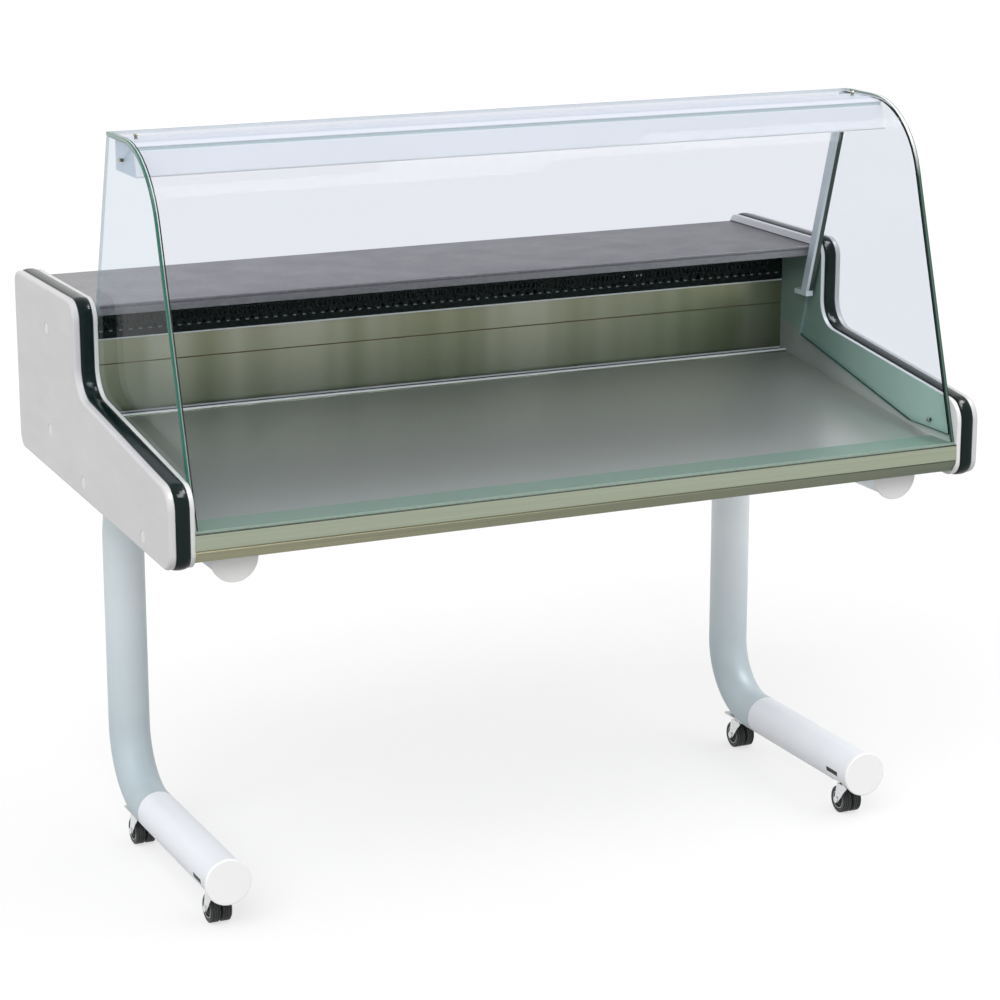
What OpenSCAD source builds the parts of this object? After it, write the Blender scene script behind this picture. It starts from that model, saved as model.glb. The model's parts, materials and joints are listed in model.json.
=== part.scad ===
// Mobile salad bar: a refrigerated display counter with a bent-glass canopy,
// carried by two C-shaped tube legs on twin-wheel swivel casters.
// Side views are drawn as [distance back from the front, height], in millimetres.

/* [Overall] */
// Length over the end panels
case_l = 1500; // [1300:10:2000]
// Depth of the end panels, front to back
case_d = 830; // [800:5:880]
// Height of the front rail's top above the floor
rail_z = 735; // [680:5:800]

/* [End panels] */
// Thickness of the outer moulding's face
outer_t = 12; // [9:0.5:16]
// Width of the bumper band between the two mouldings
bumper_w = 23; // [18:0.5:30]
// Thickness of the inner moulding
inner_t = 9; // [7:0.5:14]
// Height of the bumper's crown over the mouldings' edges
bumper_crown = 2.5; // [1:0.5:4]
// Depth of the bumper band into the panel
bumper_depth = 14; // [10:0.5:18]
// Rounding of the outer moulding's edge
outer_edge_r = 5; // [2:0.5:7]
// Depth of the low part in front of the raised block
hip_y = 474; // [468:1:486]
// Height of the rear block's top above the rail
block_rise = 292; // [285:1:320]
// Height of the hollow corner above the rail
hip_rise = 135; // [115:1:145]
// Height of the nose above the rail
nose_rise = 76; // [66:1:90]
// Depth of the nose below the rail
nose_drop = 63; // [58:1:75]
// Depth of the tail below the rail
tail_drop = 34; // [30:1:45]
// Diameter of the caps over the panel bolts
cap_d = 22; // [19:0.5:28]
// Diameter of the panel bolts
bolt_d = 8; // [6:0.5:10]

/* [Front rail] */
// Depth of the rail's box section
rail_w = 44; // [40:1:55]
// Height of the rail's box section
rail_h = 49; // [44:1:54]
// Height of the rail's light upper face
rail_face_h = 27; // [22:1:30]
// Depth of the ledge behind the glass, from the front
ledge_d = 85; // [75:1:110]
// Distance of the glass groove from the front
groove_y = 9; // [8:0.5:12]
// Depth of the glass groove
groove_depth = 10; // [8:0.5:12]

/* [Canopy] */
// Thickness of the canopy glass
glass_t = 6; // [5:0.5:8]
// Height of the canopy above the rail
canopy_h = 584; // [520:2:660]
// Lean of the front glass and of the side panes' rear edges
glass_lean = 16.9; // [14:0.1:19]
// Outer radius of the glass bend
glass_bend_r = 165; // [120:5:175]
// Distance of the canopy's rear edge from the front
canopy_back = 395; // [385:1:400]
// Depth of the lamp housing
lamp_w = 107; // [90:1:112]
// Height of the lamp housing
lamp_h = 53; // [48:1:70]
// How far the housing's face leans back
lamp_lean = 14; // [6:1:16]
// Height of the groove above the housing's face
lamp_groove_h = 7.5; // [5:0.5:9]
// Diameter of the fluorescent tube
tube_d = 26; // [16:1:28]
// Size of the canopy post along the counter's depth
post_d = 18; // [14:0.5:20]
// Width of the canopy post
post_w = 15; // [12:0.5:20]

/* [Worktop and well] */
// Thickness of the worktop board
worktop_t = 19; // [16:0.5:22]
// Distance of the worktop's front edge behind the raised block's face
worktop_setback = 34; // [30:1:38]
// Overhang of the worktop over the well's back wall
worktop_overhang = 112; // [104:1:116]
// Overhang of the worktop behind the rear cover
worktop_tail = 20; // [12:1:21]
// Height of the deck's rear edge above its front edge
deck_rise = 58; // [45:1:62]
// Width of the return-air slot behind the deck
slot_w = 20; // [14:1:24]
// Height of the air grille
grille_h = 63; // [50:1:70]
// Thickness of the stainless sheet
steel_t = 1.5; // [1:0.25:2]

/* [Legs] */
// Outside diameter of the leg tube
leg_d = 74; // [66:1:80]
// Wall of the leg tube
leg_wall = 2.5; // [2:0.25:4]
// Distance of each leg's centre from the end of the counter
leg_inset = 130; // [120:5:200]
// Distance of the upright from the rear
leg_back = 180; // [165:5:200]
// Bend radius of the tube's centre line
leg_bend_r = 120; // [100:5:125]
// Distance of the foot's front end from the front
foot_y = 130; // [110:5:135]
// Distance of the arm's front end from the front
arm_y = 62; // [58:1:90]
// Diameter of the end caps
tube_cap_d = 82; // [81:0.5:86]
// Thickness of the saddles between the arms and the tray
saddle_t = 7; // [6:0.5:12]

/* [Casters] */
// Diameter of the wheels
wheel_d = 50; // [44:1:50]
// Width of one wheel
wheel_w = 18; // [15:0.5:19]
// Height of the mounting plates' underside above the floor
caster_h = 67; // [66:0.5:70]
// Trail of the wheels behind the swivel axis
trail = 16; // [12:0.5:18]
// Distance of the front swivel axes from the front
front_swivel_y = 176; // [174:1:200]
// Distance of the rear swivel axes from the upright
rear_swivel_gap = 74; // [74:1:90]

/* [Hidden] */
$fn = 48;

// Colours
panel_grey = [0.83, 0.82, 0.82];
trim_white = [0.91, 0.90, 0.90];
rubber_green = [0.10, 0.16, 0.17];
rail_alu = [0.60, 0.64, 0.57];
glass_tint = [0.62, 0.80, 0.76, 0.35];
housing_white = [0.86, 0.90, 0.93];
board_grey = [0.54, 0.53, 0.55];
stainless = [0.62, 0.62, 0.58];
grille_black = [0.11, 0.15, 0.13];
zinc = [0.66, 0.68, 0.70];
foam_cream = [0.93, 0.89, 0.74];
leg_silver = [0.77, 0.81, 0.85];
cap_white = [0.95, 0.95, 0.95];
tyre_black = [0.07, 0.07, 0.07];
copper = [0.72, 0.45, 0.30];
machine_black = [0.12, 0.12, 0.13];
switch_green = [0.10, 0.50, 0.22];

// Fits and gaps
gap = 1;              // glass to the pieces that hold it
skin = 0.3;           // between pieces that pass each other
run_fit = 0.05;       // shaft or pin in its own bore, on the radius
hole_fit = 0.25;      // screw in a clearance hole, on the radius

// Places that several pieces share
end_t = outer_t + bumper_w + inner_t;
in_x = case_l / 2 - end_t;                 // inner faces of the end panels
top_z = rail_z + block_rise;
worktop_y = hip_y + worktop_setback;
worktop_z = top_z - 17;                    // the panels stand 17 above the worktop
board_z = worktop_z - worktop_t;
wall_y = worktop_y + worktop_overhang;
deck_back = wall_y - slot_w;
ledge_t = 3;
deck_lap = 15;                             // deck under the rail's ledge
deck_z = rail_z - ledge_t;
deck_back_z = deck_z + deck_rise;
grille_z = board_z - grille_h;
cover_y = case_d - bumper_crown - worktop_tail - 1.5;
tray_z = rail_z - 19;                      // underside of the case
tray_t = 2;
cheek_t = 4;
bay_x = in_x - cheek_t;                    // inner faces of the case's end cheeks
arc_steps = 10;

// Canopy
canopy_z = rail_z + canopy_h;
side_x = in_x - glass_t;                   // inner faces of the side panes
under_glass_z = canopy_z - glass_t;
side_flat_y = 150;
side_rise = 14;
side_back_rise = 100;
lamp_y1 = canopy_back - 29;
lamp_y0 = lamp_y1 - lamp_w;
lamp_z = under_glass_z - lamp_h;
lamp_flat_y = groove_y + canopy_h * tan(glass_lean)
    + glass_bend_r * tan((90 - glass_lean) / 2) + 4;
lamp_wall = 1.5;
bracket_t = 2;
bracket_screw = [lamp_y0 + lamp_w * 0.62, lamp_z + lamp_h * 0.4];
top_screw_x = case_l / 2 - 75;
top_screw_y = max(canopy_back - 60, lamp_flat_y + 7);
foot_screw = [87, rail_z + 28];
screw_d = 5;
post_z = board_z - 65;
post_wall = 1.5;

// Legs and casters
leg_x = case_l / 2 - leg_inset;
leg_r = leg_d / 2;
arm_z = tray_z - saddle_t - leg_r;
plate_t = 3;
pocket_h = 16;
foot_z = caster_h + plate_t - pocket_h + leg_r;
leg_y = case_d - leg_back;
cap_t = 6;
saddle_ys = [arm_y + 120, leg_y - leg_bend_r - 60];
saddle_w = 2 * leg_r + 44;
saddle_l = 60;
saddle_bolt_x = leg_r + 11;
saddle_drop = 14;
saddle_bolt_d = 8;
kingpin_d = 10;
axle_d = 8;
wheel_gap = 2;
fork_t = 2;
fork_x = wheel_gap / 2 + wheel_w + 0.6;    // inner faces of the fork's legs
fork_z = wheel_d + 7;                      // underside of the fork's top
race_r = 18;
rear_swivel_y = leg_y - rear_swivel_gap;

// Machine compartment
bay_z = tray_z + tray_t;
bay_d = cover_y - wall_y;
partition_x = bay_x - 502;
partition_t = 30;
duct_t = 22;                               // insulated wall behind the evaporator
duct_floor = 20;
pipe_r = 4;

// ---------- shapes ----------

function unit(v) = v / norm(v);
function turn_of(a) = a > 180 ? a - 360 : a < -180 ? a + 360 : a;

// Corner b between a and c, rounded by radius r
function corner(a, b, c, r) =
    r <= 0 ? [b] :
    let (u = unit(a - b), w = unit(c - b), half = acos(u * w) / 2,
         mid = b + unit(u + w) * r / sin(half),
         p = b + u * r / tan(half) - mid, q = b + w * r / tan(half) - mid,
         from = atan2(p.y, p.x), sweep = turn_of(atan2(q.y, q.x) - from))
    [for (i = [0 : arc_steps])
        mid + r * [cos(from + sweep * i / arc_steps), sin(from + sweep * i / arc_steps)]];

function flat(p) = [p.x, p.y];

// Closed outline through [y, z, corner radius]
function rounded(pts) = [
    for (i = [0 : len(pts) - 1])
        each corner(flat(pts[(i + len(pts) - 1) % len(pts)]), flat(pts[i]),
                    flat(pts[(i + 1) % len(pts)]), pts[i][2])
];

// Open line through [y, z, corner radius]
function bent(pts) = [
    for (i = [0 : len(pts) - 1])
        each (i == 0 || i == len(pts) - 1) ? [flat(pts[i])]
            : corner(flat(pts[i - 1]), flat(pts[i]), flat(pts[i + 1]), pts[i][2])
];

function left_of(v) = [-v.y, v.x];

// Counter-clockwise outline of [y, z, radius] moved inwards by d
function inset(pts, d) = [
    for (i = [0 : len(pts) - 1])
        let (a = flat(pts[(i + len(pts) - 1) % len(pts)]), b = flat(pts[i]),
             c = flat(pts[(i + 1) % len(pts)]),
             u = unit(b - a), w = unit(c - b),
             move = (left_of(u) + left_of(w)) * d / (1 + u * w))
        [b.x + move.x, b.y + move.y, pts[i][2] - d * sign(cross(u, w))]
];

// Open line moved to its right by d
function beside(line, d) = [
    for (i = [0 : len(line) - 1])
        let (u = unit(line[min(i + 1, len(line) - 1)] - line[min(i, len(line) - 2)]),
             w = unit(line[max(i, 1)] - line[max(i - 1, 0)]))
        line[i] - (left_of(u) + left_of(w)) * d / (1 + u * w)
];

function reversed(list) = [for (i = [len(list) - 1 : -1 : 0]) list[i]];

// Sheet of thickness t on the right of a line
function sheet(line, t) = concat(line, reversed(beside(line, t)));

// Side-view outline drawn across the counter from x0 to x1
module across(x0, x1) {
    translate([x0, -case_d / 2, 0])
        rotate([90, 0, 90])
            linear_extrude(x1 - x0)
                children();
}

module from_front() {
    translate([0, -case_d / 2, 0]) children();
}

module both_ends() {
    children();
    mirror([1, 0, 0]) children();
}

// Bar along X, centred on [y, z]
module bar(x0, x1, y, z, r) {
    translate([x0, y, z]) rotate([0, 90, 0]) cylinder(r = r, h = x1 - x0);
}

// Skin through equal rings of points. It is closed at its ends by fans round two hubs,
// or without hubs by joining its last ring to its first.
module loft(rings, hubs = []) {
    n = len(rings[0]);
    m = len(rings);
    spans = len(hubs) > 0 ? m - 1 : m;
    sides = [
        for (i = [0 : spans - 1], j = [0 : n - 1])
            let (a = i * n + j, b = i * n + (j + 1) % n,
                 c = ((i + 1) % m) * n + (j + 1) % n, d = ((i + 1) % m) * n + j)
            each [[a, b, c], [a, c, d]]
    ];
    ends = len(hubs) == 0 ? [] : [
        for (j = [0 : n - 1])
            each [[(j + 1) % n, j, m * n], [(m - 1) * n + j, (m - 1) * n + (j + 1) % n, m * n + 1]]
    ];
    polyhedron(points = concat([for (ring = rings) each ring], hubs), faces = concat(sides, ends));
}

// Round tube or bar through points in space, with bends of one radius
module tube_run(points, r, bend) {
    last = len(points) - 1;
    turns = [for (i = [1 : last - 1])
        acos(unit(points[i] - points[i - 1]) * unit(points[i + 1] - points[i]))];
    trims = [for (i = [0 : last]) i == 0 || i == last ? 0 : bend * tan(turns[i - 1] / 2)];
    for (i = [0 : last - 1])
        let (u = unit(points[i + 1] - points[i]),
             from = points[i] + u * trims[i],
             h = norm(points[i + 1] - points[i]) - trims[i] - trims[i + 1])
        translate(from)
            rotate([0, acos(u.z), atan2(u.y, u.x)])
                cylinder(r = r, h = h);
    for (i = [1 : last - 1])
        let (u = unit(points[i] - points[i - 1]), w = unit(points[i + 1] - points[i]),
             out = -unit(w - u * (u * w)), up = cross(out, u),
             mid = points[i] - u * trims[i] - out * bend)
        multmatrix([[out.x, u.x, up.x, mid.x], [out.y, u.y, up.y, mid.y],
                    [out.z, u.z, up.z, mid.z], [0, 0, 0, 1]])
            rotate_extrude(angle = turns[i - 1])
                translate([bend, 0]) circle(r = r);
}

// ---------- end panels ----------

panel_outline = [
    [0, rail_z - nose_drop, 32], [case_d, rail_z - tail_drop, 30],
    [case_d, top_z, 25], [hip_y, top_z, 38],
    [hip_y, rail_z + hip_rise, 50], [0, rail_z + nose_rise, 42]
];

panel_bolt_at = [
    [hip_y + 161, top_z - 75], [hip_y + 161, rail_z + 37],
    [hip_y - 26, rail_z - 15], [132, rail_z - 30]
];

function panel_ring(x, d) = [
    for (p = rounded(inset(panel_outline, d))) [x, p.x - case_d / 2, p.y]
];

module at_panel_bolts(x) {
    for (p = panel_bolt_at) translate([x, p.x - case_d / 2, p.y]) rotate([0, 90, 0]) children();
}

cap_t_panel = 4;

// Moulding with a rounded edge, and the core that carries the bumper
module outer_panel() {
    face_x = case_l / 2;
    back_x = face_x - outer_t;
    core_x = back_x - bumper_w;
    rim = concat(
        [[core_x, bumper_depth], [back_x, bumper_depth], [back_x, bumper_crown]],
        [for (i = [0 : 4]) let (a = 90 * i / 4)
            [face_x - outer_edge_r * (1 - sin(a)), bumper_crown + outer_edge_r * (1 - cos(a))]]);
    hub = [hip_y + (case_d - hip_y) / 4 - case_d / 2, rail_z];
    color(panel_grey)
        difference() {
            loft([for (e = rim) panel_ring(e.x, e.y)],
                 hubs = [[core_x, hub.x, hub.y], [face_x, hub.x, hub.y]]);
            at_panel_bolts(face_x - cap_t_panel) cylinder(d = cap_d, h = cap_t_panel + 1);
            at_panel_bolts(in_x) cylinder(r = bolt_d / 2 + hole_fit, h = end_t);
        }
}

// Rubber band with a crowned face, pressed round the core
module bumper() {
    x0 = case_l / 2 - outer_t - bumper_w;
    crown = [for (i = [0 : 6]) let (a = 90 - 180 * i / 6)
        [x0 + bumper_w / 2 * (1 - sin(a)), bumper_crown * (1 - cos(a))]];
    color(rubber_green)
        loft([for (e = concat([[x0 + bumper_w, bumper_depth], [x0, bumper_depth]], crown))
            panel_ring(e.x, e.y)]);
}

module inner_panel() {
    color(trim_white)
        difference() {
            across(in_x, in_x + inner_t)
                polygon(rounded(inset(panel_outline, bumper_crown)));
            at_panel_bolts(in_x - 1) cylinder(r = bolt_d / 2 + hole_fit, h = end_t);
            translate([in_x, foot_screw.x - case_d / 2, foot_screw.y])
                rotate([0, 90, 0])
                    translate([0, 0, -1]) cylinder(d = screw_d, h = 8);
        }
}

// Bolts from under the caps into the tapped cheeks
module panel_bolts() {
    color(zinc)
        both_ends()
            at_panel_bolts(bay_x)
                cylinder(d = bolt_d, h = case_l / 2 - cap_t_panel - bay_x);
}

module bolt_caps() {
    crown = 0.6;
    color(trim_white)
        both_ends()
            at_panel_bolts(case_l / 2 - cap_t_panel)
                rotate_extrude()
                    polygon([[0, 0], [cap_d / 2 - 0.1, 0], [cap_d / 2 - 0.1, cap_t_panel - crown],
                             [cap_d / 2 - 2, cap_t_panel], [0, cap_t_panel]]);
}

// ---------- front rail and canopy ----------

along_glass = [sin(glass_lean), cos(glass_lean)];
into_glass = [cos(glass_lean), -sin(glass_lean)];
glass_foot = [groove_y, rail_z];
seal_t = 1.5;

function glass_at(depth, up) = glass_foot + into_glass * depth + along_glass * up;

glass_line = bent([
    concat(glass_at(0, -groove_depth), 0),
    [groove_y + canopy_h * tan(glass_lean), canopy_z, glass_bend_r],
    [canopy_back, canopy_z, 0]
]);

// Aluminium extrusion: light face, dark receding face, glass groove and ledge
module front_rail() {
    wall = 2.5;
    face = [
        [14, -rail_h, 2], [rail_w, -rail_h, 1], [rail_w, -ledge_t, 0],
        [ledge_d, -ledge_t, 0], [ledge_d, 0, 1], [3, 0, 1.2],
        [1.5, -rail_face_h, 0.4], [4, -rail_face_h - 1.5, 0.4], [2.5, -rail_face_h - 4, 0.8]
    ];
    chamber_top = -groove_depth - seal_t - wall;
    chamber = [
        [7, chamber_top, 1], [7, -rail_face_h - 4, 1], [16, -rail_h + wall, 1],
        [rail_w - wall, -rail_h + wall, 1], [rail_w - wall, chamber_top, 1]
    ];
    color(rail_alu)
        difference() {
            across(-in_x, in_x) translate([0, rail_z]) polygon(rounded(face));
            across(-in_x - 1, in_x + 1) translate([0, rail_z]) polygon(rounded(chamber));
            across(-in_x - 1, in_x + 1) polygon(seal_slot(8));
        }
}

function seal_slot(up) = [
    glass_at(-seal_t, up), glass_at(-seal_t, -groove_depth - seal_t),
    glass_at(glass_t + seal_t, -groove_depth - seal_t), glass_at(glass_t + seal_t, up)
];

// U-shaped gasket that grips the glass in the groove
module glass_seal() {
    lip = 2.5;
    color(rubber_green)
        across(-in_x, in_x)
            polygon([
                glass_at(-seal_t, -groove_depth - seal_t),
                glass_at(glass_t + seal_t, -groove_depth - seal_t),
                glass_at(glass_t + seal_t, lip), glass_at(glass_t, lip + 1),
                glass_at(glass_t, -groove_depth), glass_at(0, -groove_depth),
                glass_at(0, lip + 1), glass_at(-seal_t, lip)
            ]);
}

// One bent pane: leaning front, bend and flat top
module front_glass() {
    color(glass_tint)
        difference() {
            across(-in_x, in_x) polygon(sheet(glass_line, glass_t));
            for (side = [-1, 1])
                from_front()
                    translate([side * top_screw_x, top_screw_y, under_glass_z - 1])
                        cylinder(r = screw_d / 2 + hole_fit, h = glass_t + 2);
        }
}

// Inner side of the bent pane at a height, less the gap to the side panes
function side_front_y(z) =
    groove_y + (z - rail_z) * tan(glass_lean) + (glass_t + gap) / cos(glass_lean);
side_top_z = canopy_z - glass_t - gap;
function side_back_y(z) = canopy_back + (side_top_z - z) * tan(glass_lean);

module side_glass() {
    low_z = rail_z + side_rise;
    back_z = rail_z + side_back_rise;
    color(glass_tint)
        difference() {
            across(side_x, in_x)
                polygon(rounded([
                    [side_front_y(low_z), low_z, 3],
                    [side_flat_y, low_z, 20],
                    [side_back_y(back_z), back_z, 6],
                    [canopy_back, side_top_z, 3],
                    [side_front_y(side_top_z), side_top_z, glass_bend_r - glass_t - gap]
                ]));
            for (p = [foot_screw, bracket_screw])
                translate([0, -case_d / 2, 0])
                    bar(side_x - 1, in_x + 1, p.x, p.y, screw_d / 2 + hole_fit);
        }
}

// How far the glass has come down from its flat top at y
function bend_drop(y) =
    let (r = glass_bend_r - glass_t, back = max(0, lamp_flat_y - 4 - y)) r - sqrt(r * r - back * back);

// Side view of the housing from its lower front corner over its top: a leaning face,
// a groove, and a brow that follows the bend of the glass
brow_y = lamp_y0 + lamp_lean + 3.5;
brow_z = under_glass_z - bend_drop(brow_y) - 1.2;
face_top_z = brow_z - lamp_groove_h;
housing_profile = [
    [lamp_y0, lamp_z, 3], [lamp_y0 + lamp_lean, face_top_z, 0], [brow_y + 1.5, face_top_z, 0],
    [brow_y + 1.5, brow_z - 3, 0], [brow_y, brow_z, 0], [lamp_flat_y, under_glass_z, 15],
    [lamp_y1, under_glass_z, 3], [lamp_y1, lamp_z, 3]
];

// Folded channel under the top glass, open below for the light
module lamp_housing() {
    lip = 12;
    line = bent(concat(
        [[lamp_y0 + lip, lamp_z, 0]], housing_profile, [[lamp_y1 - lip, lamp_z, 0]]
    ));
    end_x = side_x - bracket_t;
    color(housing_white)
        difference() {
            across(-end_x, end_x) polygon(sheet(line, lamp_wall));
            for (side = [-1, 1])
                from_front()
                    translate([side * top_screw_x, top_screw_y, under_glass_z - lamp_wall - 1])
                        cylinder(d = screw_d, h = lamp_wall + 2);
        }
}

module housing_brackets() {
    color(housing_white)
        both_ends()
            difference() {
                across(side_x - bracket_t, side_x)
                    polygon(rounded(reversed(housing_profile)));
                translate([0, -case_d / 2, 0])
                    bar(side_x - bracket_t - 1, side_x + 1, bracket_screw.x, bracket_screw.y,
                        screw_d / 2);
            }
}

module screw(shank) {
    head_r = screw_d * 0.85;
    rotate_extrude()
        polygon([[0, -shank], [screw_d / 2, -shank], [screw_d / 2, 0], [head_r, 0],
                 [head_r, 1], [head_r * 0.7, 2.2], [0, 2.6]]);
}

// Screws through the glass: two on top, one in each housing bracket, one at each foot
module canopy_screws() {
    color(zinc)
        both_ends() from_front() {
            translate([top_screw_x, top_screw_y, canopy_z]) screw(glass_t + lamp_wall);
            translate([in_x, bracket_screw.x, bracket_screw.y])
                rotate([0, 90, 0]) screw(glass_t + bracket_t);
            translate([side_x, foot_screw.x, foot_screw.y])
                rotate([0, -90, 0]) screw(glass_t + 7);
        }
}

lamp_axis = [lamp_flat_y + 14, lamp_z + tube_d / 2 + 8];
lamp_end_x = side_x - 60;
holder_t = 14;

module lamp_tube() {
    color(cap_white) from_front() bar(-lamp_end_x, lamp_end_x, lamp_axis.x, lamp_axis.y, tube_d / 2);
}

// Sockets that hang from the housing's top and hold the tube's ends
module lamp_holders() {
    socket_r = tube_d / 2 + 3;
    color(cap_white)
        both_ends()
            difference() {
                union() {
                    from_front()
                        bar(lamp_end_x - 6, lamp_end_x + holder_t, lamp_axis.x, lamp_axis.y, socket_r);
                    across(lamp_end_x, lamp_end_x + holder_t)
                        polygon([[lamp_axis.x - 9, lamp_axis.y], [lamp_axis.x + 9, lamp_axis.y],
                                 [lamp_axis.x + 9, under_glass_z - lamp_wall],
                                 [lamp_axis.x - 9, under_glass_z - lamp_wall]]);
                }
                from_front()
                    bar(lamp_end_x - 7, lamp_end_x, lamp_axis.x, lamp_axis.y, tube_d / 2 + 0.1);
            }
}

// Hollow post on the right, along the side pane's rear edge, that leads the lamp's cable
module canopy_post() {
    function shape(wall) = let (w = post_d / cos(glass_lean)) [
        [side_back_y(post_z) - w + wall, post_z], [side_back_y(post_z) - wall, post_z],
        [side_back_y(under_glass_z) - wall, under_glass_z],
        [side_back_y(under_glass_z) - w + wall, under_glass_z]
    ];
    color(housing_white)
        difference() {
            across(side_x - post_w - skin, side_x - skin) polygon(shape(0));
            across(side_x - post_w - skin + post_wall, side_x - skin - post_wall)
                polygon(shape(post_wall));
        }
}

// Angle that carries the post's foot from the inner moulding
module post_bracket() {
    t = 9;
    y1 = side_back_y(post_z - t);
    reach = 20;
    color(housing_white)
        from_front() translate([0, 0, post_z - t]) linear_extrude(t)
            polygon([
                [side_x - post_w - skin, y1 - post_d - 4], [side_x - skin, y1 - post_d - 4],
                [side_x - skin, y1 + 4], [in_x, y1 + 4], [in_x, y1 + reach],
                [side_x - post_w - skin, y1 + reach]
            ]);
}

// ---------- worktop and well ----------

module worktop() {
    nose = 2;
    color(board_grey)
        across(-in_x, in_x)
            polygon(rounded([
                [worktop_y, board_z, nose], [case_d - bumper_crown - 1.5, board_z, nose],
                [case_d - bumper_crown - 1.5, worktop_z, nose], [worktop_y, worktop_z, nose],
                [worktop_y, worktop_z - 4, 0], [worktop_y + 1.5, worktop_z - 4.5, 0],
                [worktop_y + 1.5, worktop_z - 6, 0], [worktop_y, worktop_z - 6.5, 0]
            ]));
}

// Stainless deck, tucked under the ledge and hemmed at the air slot
module deck() {
    hem_h = 5;
    hem_w = 2 * steel_t + 0.6;
    line = [
        [ledge_d - deck_lap, deck_z], [ledge_d + 1, deck_z],
        [deck_back - 4, deck_back_z], [deck_back, deck_back_z + hem_h],
        [deck_back + hem_w, deck_back_z + hem_h], [deck_back + hem_w, deck_back_z - 12]
    ];
    color(stainless) across(-in_x, in_x) polygon(sheet(line, steel_t));
}

// Stainless back wall: a joggled seam halfway, and a flange under the grille
module back_liner() {
    seam_z = grille_z - 47;
    line = [
        [wall_y + 1.5, deck_back_z - 14], [wall_y + 1.5, seam_z], [wall_y, seam_z + 2],
        [wall_y, grille_z], [wall_y + 3.8, grille_z]
    ];
    color(stainless) across(-in_x, in_x) polygon(sheet(line, 1.2));
}

// Perforated air outlet between the back wall and the worktop
module air_grille() {
    t = 2;
    hole_pitch = 18;
    slot_pitch = 9;
    span = 2 * in_x - 60;
    holes = floor(span / hole_pitch);
    slots = floor(span / slot_pitch);
    color(grille_black)
        translate([0, wall_y + t - case_d / 2, 0])
            rotate([90, 0, 0])
                linear_extrude(t)
                    difference() {
                        translate([-in_x, grille_z]) square([2 * in_x, grille_h]);
                        for (i = [0 : holes - 1])
                            translate([(i - (holes - 1) / 2) * hole_pitch, grille_z + grille_h * 0.26])
                                square([6, 6], center = true);
                        for (i = [0 : slots - 1])
                            translate([(i - (slots - 1) / 2) * slot_pitch, grille_z + grille_h * 0.48])
                                square([3, 8], center = true);
                    }
}

// ---------- case ----------

cheek_outline = [
    [rail_w + 16, rail_z - 45], [cover_y, tray_z],
    [cover_y, board_z], [wall_y + 4, board_z],
    [wall_y + 4, deck_back_z - 16], [rail_w + 16, deck_z - 4]
];

// Painted tray with its two tapped end cheeks
module case_tray() {
    floor_line = [
        [rail_w, rail_z - ledge_t - 1], [rail_w, tray_z],
        [cover_y - steel_t, tray_z], [cover_y - steel_t, tray_z + 14]
    ];
    color(zinc)
        difference() {
            union() {
                across(-bay_x, bay_x)
                    polygon(reversed(sheet(floor_line, -tray_t)));
                both_ends() across(bay_x, in_x) polygon(cheek_outline);
            }
            both_ends() at_panel_bolts(bay_x - 1) cylinder(d = bolt_d, h = cheek_t + 2);
            from_front()
                for (side = [-1, 1], y = saddle_ys, x = [-1, 1])
                    translate([side * leg_x + x * saddle_bolt_x, y, tray_z - 1])
                        cylinder(d = saddle_bolt_d, h = tray_t + 2);
            from_front() translate([drain_x, drain_y, tray_z - 1]) cylinder(r = drain_r + skin, h = tray_t + 2);
        }
}

// Foam under the deck, round the evaporator's duct and in the partition
module foam_insulation() {
    duct_back = cover_y - steel_t - tray_t - skin;
    duct_top = board_z - steel_t - 2 * skin;
    color(foam_cream)
        difference() {
            union() {
                across(-bay_x + skin, bay_x - skin)
                    polygon([[rail_w + tray_t + skin, bay_z + skin], [wall_y - 2, bay_z + skin],
                             [wall_y - 2, bay_z + 24], [deck_back - 6, deck_back_z - 14],
                             [ledge_d + 4, deck_z - steel_t - 2], [rail_w + tray_t + skin, deck_z - steel_t - 2]]);
                across(-bay_x + skin, partition_x + partition_t)
                    polygon([[wall_y - 3, bay_z + skin], [duct_back, bay_z + skin],
                             [duct_back, duct_top], [duct_back - duct_t, duct_top],
                             [duct_back - duct_t, bay_z + duct_floor], [wall_y - 3, bay_z + duct_floor]]);
                across(partition_x, partition_x + partition_t)
                    polygon([[wall_y + 16, bay_z + duct_floor - 1], [duct_back, bay_z + duct_floor - 1],
                             [duct_back, duct_top], [wall_y + 16, duct_top]]);
            }
            from_front() translate([drain_x, drain_y, bay_z - 1]) cylinder(r = drain_r + 4, h = duct_floor + 2);
            for (run = [suction_run, liquid_run])
                tube_run(run, pipe_r + 1, 20);
        }
}

// Sheet cover with hooded louvres beside the condensing unit
module rear_cover() {
    low_z = tray_z + skin;
    high_z = board_z - skin;
    louvre_w = 150;
    color(zinc)
        difference() {
            union() {
                across(-bay_x + skin, bay_x - skin)
                    polygon([[cover_y - steel_t, low_z], [cover_y, low_z],
                             [cover_y, high_z], [cover_y - 14, high_z],
                             [cover_y - 14, high_z - steel_t], [cover_y - steel_t, high_z - steel_t]]);
                for (i = [0 : louvres - 1], x = louvre_xs)
                    across(x - louvre_w / 2, x + louvre_w / 2)
                        translate([cover_y, louvre_z + i * louvre_pitch])
                            polygon([[-0.5, 2], [-0.5, 9], [0, 9], [6, 0], [5, -0.8], [0, 6.6]]);
            }
            for (i = [0 : louvres - 1], x = louvre_xs)
                across(x - louvre_w / 2 + 3, x + louvre_w / 2 - 3)
                    translate([cover_y, louvre_z + i * louvre_pitch])
                        polygon([[-steel_t - 1, -1], [-steel_t - 1, 5], [0.2, 5], [0.2, -1]]);
            control_cutouts(cover_y - steel_t - 1, steel_t + 2, 1);
        }
}

// ---------- controls ----------

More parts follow.
